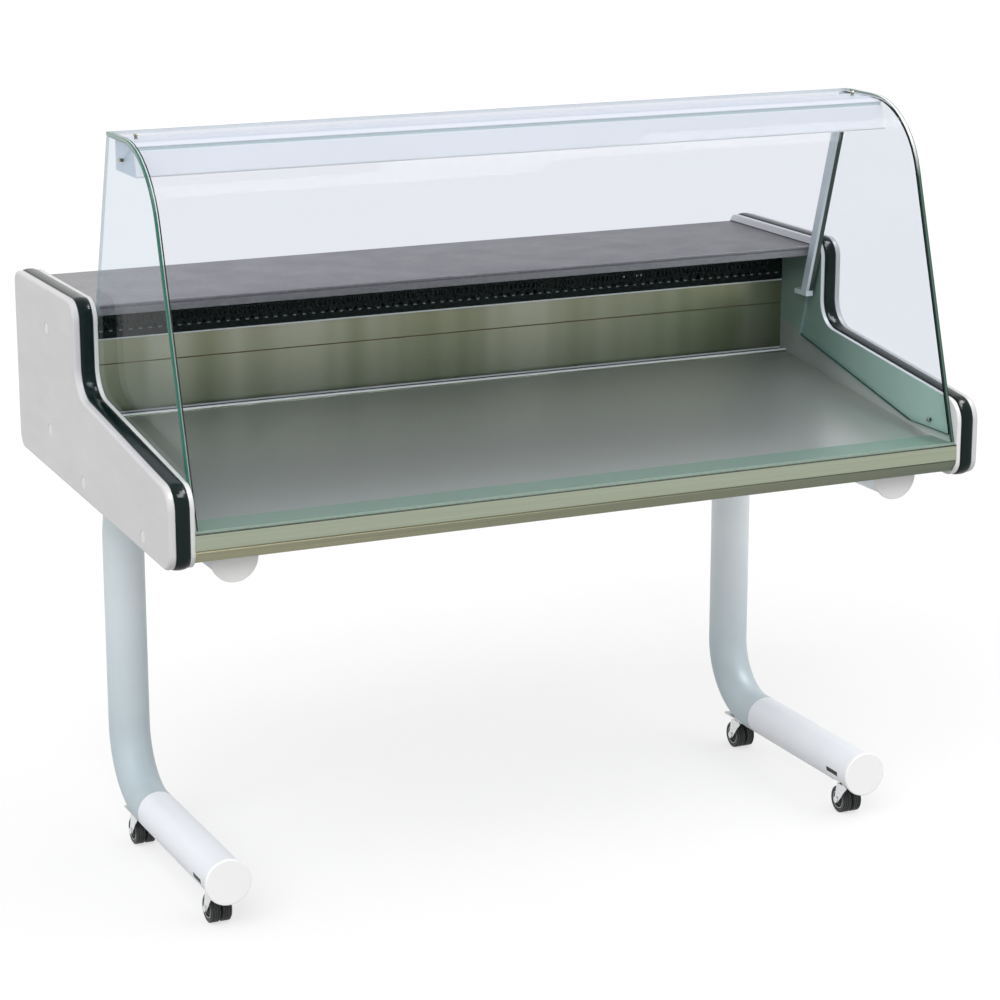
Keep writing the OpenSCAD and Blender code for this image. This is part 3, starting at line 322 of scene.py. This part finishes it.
def lacquer(name, light, dark, roughness):
    """Paint on metal, with orange peel."""
    s = Shader(name)
    s.colour(s.mix(s.patches(4, 3), dark, light))
    s.roughness(s.patches(60, 4, roughness - 0.04, roughness + 0.04))
    s.grain(420, 0.00005)
    return s.material


def brushed(name, light, dark, roughness, stretch):
    """Metal with a grain. The grain runs along the axes that are stretched least."""
    s = Shader(name, Metallic=1.0, IOR=1.5)
    grain = s.noise(1, detail=4, stretch=stretch, roughness=0.6)
    s.colour(s.mix(s.range(grain, 0.35, 0.65), dark, light))
    s.roughness(s.range(grain, 0.3, 0.7, roughness - 0.06, roughness + 0.08))
    s.bump(grain, 0.00004)
    return s.material


def pane(name, tint, shine, marks):
    """Clear glass that reflects a little. marks gives the colour and cover of its cut edges."""
    s = Shader(name, Roughness=0.3, IOR=1.2)
    colour, cover = marks(s)
    s.colour(s.vector("MULTIPLY", colour, s.patches(300, 3, 0.96, 1.04)))
    fresnel = s.node("ShaderNodeFresnel", {"IOR": 1.5})
    gloss = s.math("MULTIPLY", s.both(fresnel.outputs["Fac"], s.outside()), shine)
    clear = s.node("ShaderNodeBsdfTransparent", {"Color": (*tint, 1)})
    mirror = s.node("ShaderNodeBsdfGlossy", {"Color": (0.92, 0.95, 0.95, 1), "Roughness": 0.02})
    face = s.node("ShaderNodeMixShader", {0: gloss, 1: clear.outputs[0], 2: mirror.outputs[0]})
    edge = s.principled.outputs[0]
    seen = s.node("ShaderNodeMixShader", {0: cover, 1: face.outputs[0], 2: edge})
    s.surface(seen.outputs[0])
    return s.material


# ---------- glass ----------


def front_pane_marks(s):
    """Green at the polished ends, with lines beside them painted as the ends' reflection in the
    pane, a faint painted highlight among them on the left, and lines and ends painted pale higher
    up as reflection.
    """
    x, y, z = s.axes()
    inward = s.math("SUBTRACT", INNER_FACE_X, s.math("ABSOLUTE", x))
    from_end = s.math("MULTIPLY", inward, 1 / EDGE_BAND)
    # Left end: a green band, a faint painted highlight and a dark line, all painted reflection
    left, left_cover = s.steps(
        from_end,
        [
            (0.0, (0.022, 0.150, 0.105, 1)),
            (0.15, (0.90, 0.93, 0.92, 0.25)),
            (0.25, (0.020, 0.040, 0.036, 1)),
            (0.37, (1, 1, 1, 0)),
        ],
    )
    # Right end: dark, teal and dark lines, all painted reflection
    right, right_cover = s.steps(
        from_end,
        [
            (0.0, (0.020, 0.035, 0.030, 1)),
            (0.06, (0.080, 0.150, 0.120, 1)),
            (0.24, (0.016, 0.030, 0.026, 1)),
            (0.40, (1, 1, 1, 0)),
        ],
    )
    # Higher up the right lines turn pale: painted reflection
    pale = s.both(s.range(z, *EDGE_GLARE_Z), s.within(from_end, 0.06, 0.32))
    right = s.mix(pale, right, (0.84, 0.87, 0.87))
    on_right = s.above(x, 0.0)
    ends = s.above(s.facing("X"), 0.9)
    back = s.above(y, GLASS_BACK - HAIR)
    lines = s.mix(on_right, left, right)
    line_cover = s.both(s.range(on_right, 0, 1, left_cover, right_cover), s.outside())
    # The end faces turn pale higher up: painted reflection
    end_face = s.mix(s.range(z, *END_GLARE_Z), (0.016, 0.120, 0.085), (0.34, 0.44, 0.40))
    colour = s.mix(ends, lines, end_face)
    colour = s.mix(back, colour, (0.82, 0.86, 0.88))
    return colour, s.either(s.either(ends, back), line_cover)


def side_pane_marks(s):
    """Cut edges: pale on top, dark green in front, below, and where the post's seal backs them."""
    x, y, z = s.axes()
    edges = s.below(s.facing("X"), 0.5)
    rear = s.above(s.along_glass(y, z, GLASS_SLOPE), PANE_REAR)
    sealed = s.both(s.above(x, 0.0), s.above(z, POST_FOOT_Z))
    rear_colour = s.mix(sealed, (0.42, 0.52, 0.54), (0.020, 0.070, 0.050))
    colour = s.mix(rear, (0.020, 0.080, 0.060), rear_colour)
    colour = s.mix(s.above(z, PANE_TOP), colour, (0.78, 0.84, 0.85))
    faint = s.both(rear, s.inverse(sealed))
    return colour, s.both(edges, s.range(faint, 0, 1, 1.0, 0.45))


def glass_seal():
    """Black gasket whose inner lip, behind the front, is pale green."""
    s = Shader("glass_seal", Specular_IOR_Level=0.3)
    seal_mottle = s.noise(90, detail=4)
    inner_lip = s.above(s.axes()[1], SEAL_FRONT_Y)
    # Colour of the inner lip: pale green, mottled
    worn = s.mix(seal_mottle, (0.20, 0.27, 0.23), (0.28, 0.36, 0.31))
    s.colour(s.mix(inner_lip, (0.018, 0.026, 0.024), worn))
    s.roughness(s.range(seal_mottle, 0.3, 0.7, 0.4, 0.55))
    s.grain(900, 0.00005)
    return s.material


def lamp_glass():
    """White tube with metal caps."""
    s = Shader("lamp_tube_glass", Roughness=0.2, IOR=1.5, Coat_Weight=0.8, Coat_Roughness=0.03)
    cap = s.above(s.math("ABSOLUTE", s.axes()[0]), LAMP_CAP_X)
    glass = s.mix(s.noise(40, detail=4), (0.86, 0.87, 0.86), (0.92, 0.93, 0.93))
    s.colour(s.mix(cap, glass, (0.45, 0.46, 0.47)))
    return s.material


# ---------- canopy and worktop ----------


def housing_coat():
    """White satin coat with a painted glow that is stronger on the brow as a painted highlight, a
    grey-green strip in the groove over the face darkened as painted shade, and top and ends
    painted darker as shade.
    """
    s = Shader("housing_coat", IOR=1.5, Coat_Weight=0.3, Coat_Roughness=0.2)
    _, y, z = s.axes()
    # The groove's strip: grey-green, darker as painted shade of the recess
    strip = s.both(s.within(z, *GROOVE_Z), s.below(y, GROOVE_BACK_Y))
    strip = s.both(strip, s.above(s.facing("Y"), 0.6))
    brow = s.both(s.within(z, *BROW_Z), s.below(y, BROW_BACK_Y))
    coat = s.mix(s.patches(4, 3), (0.92, 0.93, 0.91), (0.95, 0.96, 0.94))
    # Painted shade: the top a little darker and bluer, the ends much darker
    coat = s.mix(s.above(z, HOUSING_TOP_Z), coat, (0.84, 0.87, 0.89))
    coat = s.mix(s.above(s.facing("X"), 0.9), coat, (0.50, 0.58, 0.68))
    s.colour(s.mix(strip, coat, (0.47, 0.57, 0.57)))
    # The emission is a painted glow over the coat, stronger on the brow as a painted highlight
    s.set(s.principled.inputs["Emission Color"], (1.0, 0.98, 0.95, 1))
    s.set(s.principled.inputs["Emission Strength"], s.range(brow, 0, 1, 0.17, 0.30))
    s.roughness(s.patches(60, 4, 0.32, 0.42))
    s.grain(420, 0.00004)
    return s.material


def post_coat():
    """Silver coat, and the dark seal between the post and the pane."""
    s = Shader("post_coat", Metallic=0.35, IOR=1.5)
    x, _, z = s.axes()
    coat = s.mix(s.patches(8, 3), (0.64, 0.71, 0.74), (0.70, 0.77, 0.80))
    seal = s.both(s.above(x, POST_SEAL_X), s.above(z, POST_SEAL_Z))
    s.colour(s.mix(seal, coat, (0.045, 0.065, 0.050)))
    s.roughness(s.patches(60, 4, 0.32, 0.42))
    return s.material


def worktop_laminate():
    """Speckled grey laminate, the top painted paler to the left and the front edge paler to the
    right, as painted light.
    """
    s = Shader("worktop_laminate", IOR=1.5, Coat_Weight=0.15, Coat_Roughness=0.3)
    x, _, _ = s.axes()
    speckle = s.range(s.noise(230, detail=4, stretch=(0.5, 1, 1)), 0.35, 0.65)
    # Painted light: the same laminate lit at the left and shaded at the right
    top_lit_left = s.mix(speckle, (0.185, 0.178, 0.190), (0.235, 0.228, 0.240))
    top_shaded_right = s.mix(speckle, (0.105, 0.102, 0.106), (0.145, 0.142, 0.147))
    top = s.mix(s.range(x, -0.65, 0.7), top_lit_left, top_shaded_right)
    # Painted light on the front edge: shaded at the left, lit at the right
    edge_shaded_left = s.mix(speckle, (0.175, 0.170, 0.168), (0.225, 0.218, 0.214))
    edge_lit_right = s.mix(speckle, (0.28, 0.275, 0.275), (0.33, 0.325, 0.325))
    edge = s.mix(s.range(x, -0.1, 0.7), edge_shaded_left, edge_lit_right)
    s.colour(s.mix(s.above(s.facing("Z"), 0.6), edge, top))
    s.roughness(s.patches(14, 5, 0.36, 0.5))
    s.grain(900, 0.00005)
    return s.material


# ---------- case ----------


def cap_plastic():
    """White plugs over the panel bolts, with their rims painted dark as painted shadow."""
    s = Shader("bolt_cap", IOR=1.5)
    face = s.mix(s.patches(40, 4), (0.74, 0.735, 0.735), (0.80, 0.795, 0.795))
    # The rims, the faces that don't face out, are painted dark as painted shadow
    s.colour(s.mix(s.above(s.facing("X"), 0.8), (0.36, 0.36, 0.35), face))
    s.roughness(s.patches(90, 4, 0.28, 0.40))
    s.grain(1400, 0.00006)
    return s.material


def trim_moulding():
    """White moulding with a dark seam by the bumper, painted darker on the left as painted shade,
    lined in the well, green behind the panes, and painted darker towards the back of the well as
    painted shade.
    """
    s = Shader("trim_moulding", IOR=1.5)
    x, y, z = s.axes()
    far = s.math("ABSOLUTE", x)
    inner = s.below(far, INNER_FACE_X + HAIR)
    in_well = s.above(s.along_glass(y, z, -GLASS_SLOPE), GLASS_FOOT)
    in_well = s.both(in_well, s.above(z, LINING_FOOT_Z))
    on_worktop = s.both(s.above(y, WORKTOP_FRONT), s.above(z, WORKTOP_UNDER))
    lined = s.both(s.both(inner, in_well), s.inverse(on_worktop))

    # The lining darkens towards the back: painted shade
    depth = s.range(y, *LINING_SHADE_Y)
    behind_pane = s.mix(depth, (0.56, 0.76, 0.64), (0.20, 0.29, 0.24))
    below_pane = s.mix(depth, (0.76, 0.80, 0.72), (0.26, 0.29, 0.25))
    lining = s.mix(s.above(s.over_pane_foot(y, z), 0.0), below_pane, behind_pane)

    # The rim is painted darker on the left than on the right: painted shade
    rim = s.mix(s.above(x, 0.0), (0.58, 0.60, 0.58), (0.82, 0.81, 0.82))
    rim = s.mix(s.patches(6, 4), rim, (0.80, 0.80, 0.80))
    rim = s.mix(s.above(far, TRIM_SEAM_X), rim, (0.02, 0.03, 0.03))
    gap = s.both(s.both(inner, on_worktop), s.within(z, *TRIM_GAP_Z))
    rim = s.mix(gap, rim, (0.02, 0.02, 0.02))

    s.colour(s.mix(lined, rim, lining))
    s.roughness(s.range(s.noise(34, detail=5), 0.35, 0.7, 0.30, 0.42))
    s.grain(1400, 0.00005, rounding=0.003)
    return s.material


def rail_metal():
    """Anodised rail: pale upper face, a lower face that turns far darker to the right, and a green
    ledge, all painted lit at the left and shaded at the right; streaks of grain that also serve as
    painted reflections; a black painted shadow along the lip.
    """
    s = Shader("rail_anodised", Metallic=0.55, IOR=1.5)
    lines = s.noise(1, detail=5, stretch=(1.5, 700, 700), roughness=0.65)
    # The streaks are grain and also painted reflections along the rail
    streak = s.range(lines, 0.3, 0.7)
    x, y, z = s.axes()
    # Painted light: each tone runs from lit at the left to shaded at the right
    along = s.range(x, -0.7, 0.7)
    upper = s.mix(along, (0.300, 0.330, 0.245), (0.275, 0.310, 0.215))
    upper = s.mix(streak, upper, (0.36, 0.40, 0.315))
    lower = s.mix(along, (0.400, 0.380, 0.230), (0.040, 0.078, 0.052))
    lower = s.mix(streak, lower, (0.20, 0.210, 0.150))
    ledge = s.mix(along, (0.50, 0.68, 0.56), (0.36, 0.58, 0.46))
    ledge = s.mix(streak, ledge, (0.42, 0.62, 0.50))
    rail = s.mix(s.range(z, *RAIL_STEP_Z), lower, upper)
    rail = s.mix(s.range(z, *RAIL_TOP_Z), rail, ledge)
    # The black line along the lip is a painted shadow
    lip = s.both(s.above(z, RAIL_LIP_Z), s.below(y, SEAL_FRONT_Y))
    s.colour(s.mix(lip, rail, (0.030, 0.038, 0.030)))
    s.roughness(s.range(lines, 0.3, 0.7, 0.32, 0.46))
    s.bump(lines, 0.00005)
    return s.material


def stainless():
    """Polished sheet: hair-fine grain, an olive tint and soft upright shades painted as
    reflections, the wall darker low down and the deck darker to the back as painted shade, hems
    painted bright as highlights, and a duller deck.
    """
    s = Shader("stainless_sheet")
    grain = s.noise(1, detail=2, stretch=(40, 2500, 2500))
    # Soft upright shades, painted as reflections in the sheet
    shade = s.range(s.noise(1, detail=2, stretch=(9, 0.2, 0.2)), 0.38, 0.62)
    _, y, z = s.axes()
    # The olive tint is a painted reflection; the wall is painted darker low down, as painted shade
    high = s.mix(shade, (0.29, 0.29, 0.17), (0.45, 0.44, 0.31))
    low = s.mix(shade, (0.16, 0.19, 0.12), (0.27, 0.29, 0.21))
    wall = s.mix(s.range(z, *WALL_Z), low, high)
    # The deck is painted darker towards the back: painted shade
    deck = s.mix(s.range(y, *DECK_Y), (0.58, 0.60, 0.54), (0.36, 0.38, 0.33))
    level = s.above(s.facing("Z"), 0.7)
    # Hems painted bright and less metallic: a painted highlight on the folded edges
    hem_glint = s.either(s.within(z, *WALL_HEM_Z), s.within(z, *DECK_HEM_Z))
    sheet = s.mix(s.within(z, *WALL_SEAM_Z), s.mix(level, wall, deck), (0.30, 0.25, 0.15))
    s.colour(s.mix(hem_glint, sheet, (0.86, 0.88, 0.84)))
    metal = s.both(s.range(level, 0, 1, 0.9, 0.55), s.range(hem_glint, 0, 1, 1.0, 0.2))
    s.set(s.principled.inputs["Metallic"], metal)
    s.roughness(s.range(grain, 0.2, 0.8, 0.27, 0.30))
    return s.material


def grille_paint():
    """Black coat, with the lower lips of one row of holes painted pale, as light showing in the
    holes.
    """
    s = Shader("grille_black", Specular_IOR_Level=0.15)
    x, _, z = s.axes()
    across_hole = s.math("PINGPONG", s.math("ADD", x, HOLE_STEP), HOLE_STEP)
    row = s.math("SUBTRACT", z, GRILLE_Z + GRILLE_H * GRILLE_ROW)
    # Painted light: pale lower lips stand for light showing in the holes
    lip = s.both(s.below(across_hole, HOLE_HALF), s.within(row, *HOLE_LIP))
    grain = s.noise(500, detail=3)
    black = s.mix(grain, (0.003, 0.007, 0.006), (0.007, 0.014, 0.011))
    s.colour(s.mix(lip, black, (0.34, 0.40, 0.36)))
    s.roughness(s.range(grain, 0.3, 0.7, 0.45, 0.6))
    s.bump(grain, 0.00006)
    return s.material


def galvanised():
    """Zinc-coated sheet with small spangles."""
    s = Shader("galvanised_steel", Metallic=0.85, IOR=1.5)
    spangle = s.node("ShaderNodeTexVoronoi", {"Vector": s.place(), "Scale": 140.0})
    s.colour(s.mix(spangle.outputs["Distance"], (0.50, 0.51, 0.52), (0.62, 0.63, 0.64)))
    s.roughness(s.patches(90, 3, 0.34, 0.5))
    return s.material


def foam():
    """Yellowish insulation with fine cells."""
    s = Shader("foam", Roughness=0.85)
    cells = s.noise(500, detail=4)
    s.colour(s.mix(cells, (0.66, 0.58, 0.34), (0.80, 0.74, 0.52)))
    s.bump(cells, 0.0004)
    return s.material


# ---------- legs and casters ----------


def tube_lacquer():
    """Silver lacquer on the bent tubes, whiter on the feet, painted darker on the bends and
    lighter on the right leg as painted shade and light, with a black mark painted as the shadow of
    a slot by each front caster.
    """
    s = Shader("leg_lacquer", Metallic=0.1, IOR=1.4, Coat_Weight=0.05, Coat_Roughness=0.35)
    clouds = s.patches(5, 3)
    x, y, z = s.axes()
    on_right = s.above(x, 0.0)
    left_upright = s.mix(clouds, (0.660, 0.735, 0.760), (0.720, 0.790, 0.820))
    # The right leg is painted lighter than the left: painted light
    right_upright_lit = s.mix(clouds, (0.89, 0.95, 0.985), (0.93, 0.975, 1.0))
    # The bends are painted darker than the uprights: painted shade
    left_bend = s.mix(clouds, (0.460, 0.545, 0.590), (0.540, 0.620, 0.660))
    right_bend_lit = s.mix(clouds, (0.50, 0.59, 0.63), (0.58, 0.67, 0.71))
    upright = s.mix(on_right, left_upright, right_upright_lit)
    bend = s.mix(on_right, left_bend, right_bend_lit)
    foot = s.mix(clouds, (0.83, 0.855, 0.905), (0.87, 0.890, 0.935))

    low = s.below(z, FOOT_TOP_Z)
    on_foot = s.both(low, s.below(y, FOOT_SEAM_Y[0]))
    seam = s.both(low, s.within(y, *FOOT_SEAM_Y))
    # By each front caster a slot is not cut but painted black as a painted shadow, with a white
    # lip below it
    by_caster = s.within(y, *FOOT_SLOT_Y)
    slot = s.both(by_caster, s.within(z, *FOOT_SLOT_Z))
    lip = s.both(by_caster, s.within(z, *FOOT_LIP_Z))

    colour = s.mix(s.range(z, *LEG_BEND_Z), bend, upright)
    colour = s.mix(on_foot, colour, foot)
    colour = s.mix(seam, colour, (0.35, 0.40, 0.43))
    colour = s.mix(lip, colour, (0.95, 0.95, 0.95))
    s.colour(s.mix(slot, colour, (0.004, 0.004, 0.004)))
    s.roughness(s.patches(60, 4, 0.44, 0.54))
    s.grain(800, 0.00003)
    return s.material


def rubber_tyre():
    """Scuffed rubber: worn rings round its tread with grooves painted near black as painted shade,
    and pale rings on its side.
    """
    s = Shader("tyre_rubber", IOR=1.4)
    scuff = s.noise(160, detail=6, roughness=0.7)
    side = s.above(s.facing("X"), 0.5)
    tread = s.inverse(side)
    across = s.math("PINGPONG", s.axes()[0], TREAD_STEP)
    # Grooves are painted near black: painted shade in them
    groove = s.both(s.below(across, TREAD_GROOVE), tread)
    ridge = s.both(s.within(across, TREAD_GROOVE, TREAD_RIDGE), tread)

    box = s.node("ShaderNodeTexCoord").outputs["Generated"]
    from_axle = s.vector("SUBTRACT", box, (0.5, 0.5, 0.5))
    out = s.vector("LENGTH", s.vector("MULTIPLY", from_axle, (0, 2, 2)))
    hub_ring = s.both(side, s.within(out, *HUB_RING))
    wall_ring = s.both(side, s.within(out, *WALL_RING))

    worn = s.mix(s.range(scuff, 0.45, 0.75), (0.012, 0.012, 0.013), (0.040, 0.040, 0.040))
    worn = s.mix(ridge, worn, (0.10, 0.105, 0.105))
    worn = s.mix(wall_ring, worn, (0.12, 0.13, 0.13))
    worn = s.mix(hub_ring, worn, (0.62, 0.66, 0.66))
    s.colour(s.mix(groove, worn, (0.002, 0.002, 0.002)))
    s.roughness(s.range(scuff, 0.3, 0.7, 0.40, 0.60))
    s.bump(scuff, 0.0001)
    return s.material


# ---------- dressing ----------

EVEN = (300, 300, 300)

# By the record's material slots
MATERIALS = {
    "panel": plastic(
        "panel_moulding", (0.660, 0.654, 0.660), (0.620, 0.614, 0.622), 0.40, rounding=0.003
    ),
    "bumper": plastic(
        "bumper_rubber",
        (0.004, 0.014, 0.013),
        (0.003, 0.010, 0.009),
        0.14,
        index=1.25,
        rounding=0.004,
    ),
    "trim": trim_moulding(),
    "zinc": brushed("zinc_plate", (0.62, 0.62, 0.61), (0.50, 0.50, 0.49), 0.34, EVEN),
    "rail": rail_metal(),
    "housing": housing_coat(),
    "lamp": lamp_glass(),
    "white_plastic": plastic("white_plastic", (0.84, 0.84, 0.82), (0.79, 0.79, 0.77), 0.36),
    "worktop": worktop_laminate(),
    "stainless": stainless(),
    "grille": grille_paint(),
    "galvanised": galvanised(),
    "foam": foam(),
    "black_plastic": plastic(
        "black_plastic", (0.022, 0.022, 0.023), (0.015, 0.015, 0.016), 0.42
    ),
    "switch": plastic("switch_green", (0.02, 0.24, 0.06), (0.015, 0.18, 0.045), 0.28),
    "black_paint": lacquer("stove_enamel", (0.016, 0.016, 0.017), (0.011, 0.011, 0.012), 0.32),
    "fins": brushed(
        "fin_aluminium", (0.72, 0.73, 0.74), (0.60, 0.61, 0.62), 0.36, (400, 400, 6)
    ),
    "copper": brushed(
        "copper_pipe", (0.70, 0.34, 0.20), (0.55, 0.24, 0.13), 0.30, (200, 200, 200)
    ),
    "leg": tube_lacquer(),
    "cap": plastic("cap_moulding", (0.95, 0.955, 0.95), (0.92, 0.925, 0.92), 0.36),
    "fork": brushed("bright_zinc", (0.78, 0.79, 0.80), (0.66, 0.67, 0.68), 0.20, EVEN),
    "tyre": rubber_tyre(),
}

# By node, in place of the slot's
FINISHES = {
    "front_glass": pane("front_pane_glass", (0.872, 0.884, 0.915), 0.05, front_pane_marks),
    "left_side_glass": pane("left_pane_glass", (0.868, 0.895, 0.925), 0.3, side_pane_marks),
    "right_side_glass": pane("right_pane_glass", (0.985, 0.995, 0.992), 0.15, side_pane_marks),
    "canopy_screws": brushed(
        "nickel_screw", (0.52, 0.48, 0.36), (0.36, 0.33, 0.24), 0.30, EVEN
    ),
    "canopy_post": post_coat(),
    "post_bracket": post_coat(),
    "bolt_caps": cap_plastic(),
    "glass_seal": glass_seal(),
}


def dress(frame):
    """Gives every CAD node its own finish, or else the material of its slot in the record."""
    slots = {part["node"]: part["material_slot"] for part in frame["record"]["subparts"]}
    for name, piece in frame["nodes"].items():
        piece.data.materials.clear()
        piece.data.materials.append(FINISHES.get(name) or MATERIALS[slots[name]])


def free_pane(frame, name):
    """Stands for a side pane, and stays clear of the panel's face, so neither hides the other."""
    cad = frame["nodes"][name]
    mesh = cad.data.copy()
    for vertex in mesh.vertices:
        if abs(vertex.co.x) > INNER_FACE_X - TOUCH:
            vertex.co.x -= math.copysign(PANE_GAP, vertex.co.x)
    made = bpy.data.objects.new(name + "_clear", mesh)
    bpy.context.scene.collection.objects.link(made)
    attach(made, cad["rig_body"])
    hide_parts(name)


# ---------- stage ----------


def studio_world():
    """White to the eye and in reflections, and a plain fill for everything else."""
    world = bpy.data.worlds.new("studio")
    bpy.context.scene.world = world
    world.use_nodes = True
    tree = world.node_tree
    background = tree.nodes["Background"]
    background.inputs["Color"].default_value = (1, 1, 1, 1)
    path = tree.nodes.new("ShaderNodeLightPath")
    sharp = path.outputs["Is Camera Ray"]
    for ray in ("Is Glossy Ray", "Is Transmission Ray"):
        most = tree.nodes.new("ShaderNodeMath")
        most.operation = "MAXIMUM"
        tree.links.new(sharp, most.inputs[0])
        tree.links.new(path.outputs[ray], most.inputs[1])
        sharp = most.outputs[0]
    level = tree.nodes.new("ShaderNodeMapRange")
    level.inputs["To Min"].default_value = WORLD_FILL
    level.inputs["To Max"].default_value = 1.0
    tree.links.new(sharp, level.inputs["Value"])
    tree.links.new(level.outputs["Result"], background.inputs["Strength"])


def floor():
    """Pale floor that shows white to the eye and keeps the part's shadow."""
    bpy.ops.mesh.primitive_plane_add(size=FLOOR_SIZE, location=(0, 0, 0))
    plane = bpy.context.object
    plane.name = "floor"
    s = Shader("floor_paint", Roughness=0.9, Specular_IOR_Level=0.1)
    s.colour(s.mix(s.noise(2, detail=2), (0.38, 0.38, 0.38), (0.40, 0.40, 0.40)))
    path = s.node("ShaderNodeLightPath")
    seen = s.either(path.outputs["Is Camera Ray"], path.outputs["Is Transmission Ray"])
    seen = s.either(seen, path.outputs["Is Glossy Ray"])
    glow = s.node("ShaderNodeEmission", {"Strength": s.math("MULTIPLY", seen, FLOOR_GLOW)})
    lit = s.node("ShaderNodeAddShader", {0: s.principled.outputs[0], 1: glow.outputs[0]})
    s.surface(lit.outputs[0])
    plane.data.materials.append(s.material)


def lamp(name, kind, power, towards):
    """towards is the direction in which its light travels."""
    data = bpy.data.lights.new(name, kind)
    data.energy = power
    made = bpy.data.objects.new(name, data)
    bpy.context.scene.collection.objects.link(made)
    made.rotation_euler = Vector(towards).to_track_quat("-Z", "Y").to_euler()
    return made


def sun(name, towards, strength, softness):
    """Even light from far away."""
    made = lamp(name, "SUN", strength, towards)
    made.data.angle = math.radians(softness)
    made.visible_glossy = False


def softbox(name, at, size, power):
    """Broad lamp overhead in front that shows only as a highlight on what is glossy."""
    made = lamp(name, "AREA", power, Vector(LIGHT_AIM) - Vector(at))
    made.location = at
    made.data.shape = "RECTANGLE"
    made.data.size, made.data.size_y = size
    made.visible_camera = False
    made.visible_diffuse = False
    made.visible_transmission = False


def lights():
    sun("key", (0.52, 0.55, -0.66), 1.65, 50)
    sun("fill", (-0.70, 0.45, -0.55), 0.7, 80)
    softbox("softbox", (1.80, -1.45, 4.95), (4.5, 1.1), 380)


def camera():
    data = bpy.data.cameras.new("photo_camera")
    data.sensor_width = SENSOR_MM
    data.lens = CAMERA_LENS_MM
    made = bpy.data.objects.new("photo_camera", data)
    bpy.context.scene.collection.objects.link(made)
    made.location = CAMERA_AT
    made.rotation_euler = (math.pi / 2 - CAMERA_PITCH, 0, -CAMERA_HEADING)
    bpy.context.scene.camera = made


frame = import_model()
dress(frame)
free_pane(frame, "left_side_glass")
free_pane(frame, "right_side_glass")
studio_world()
floor()
lights()
camera()
bpy.context.scene.view_settings.view_transform = "Standard"
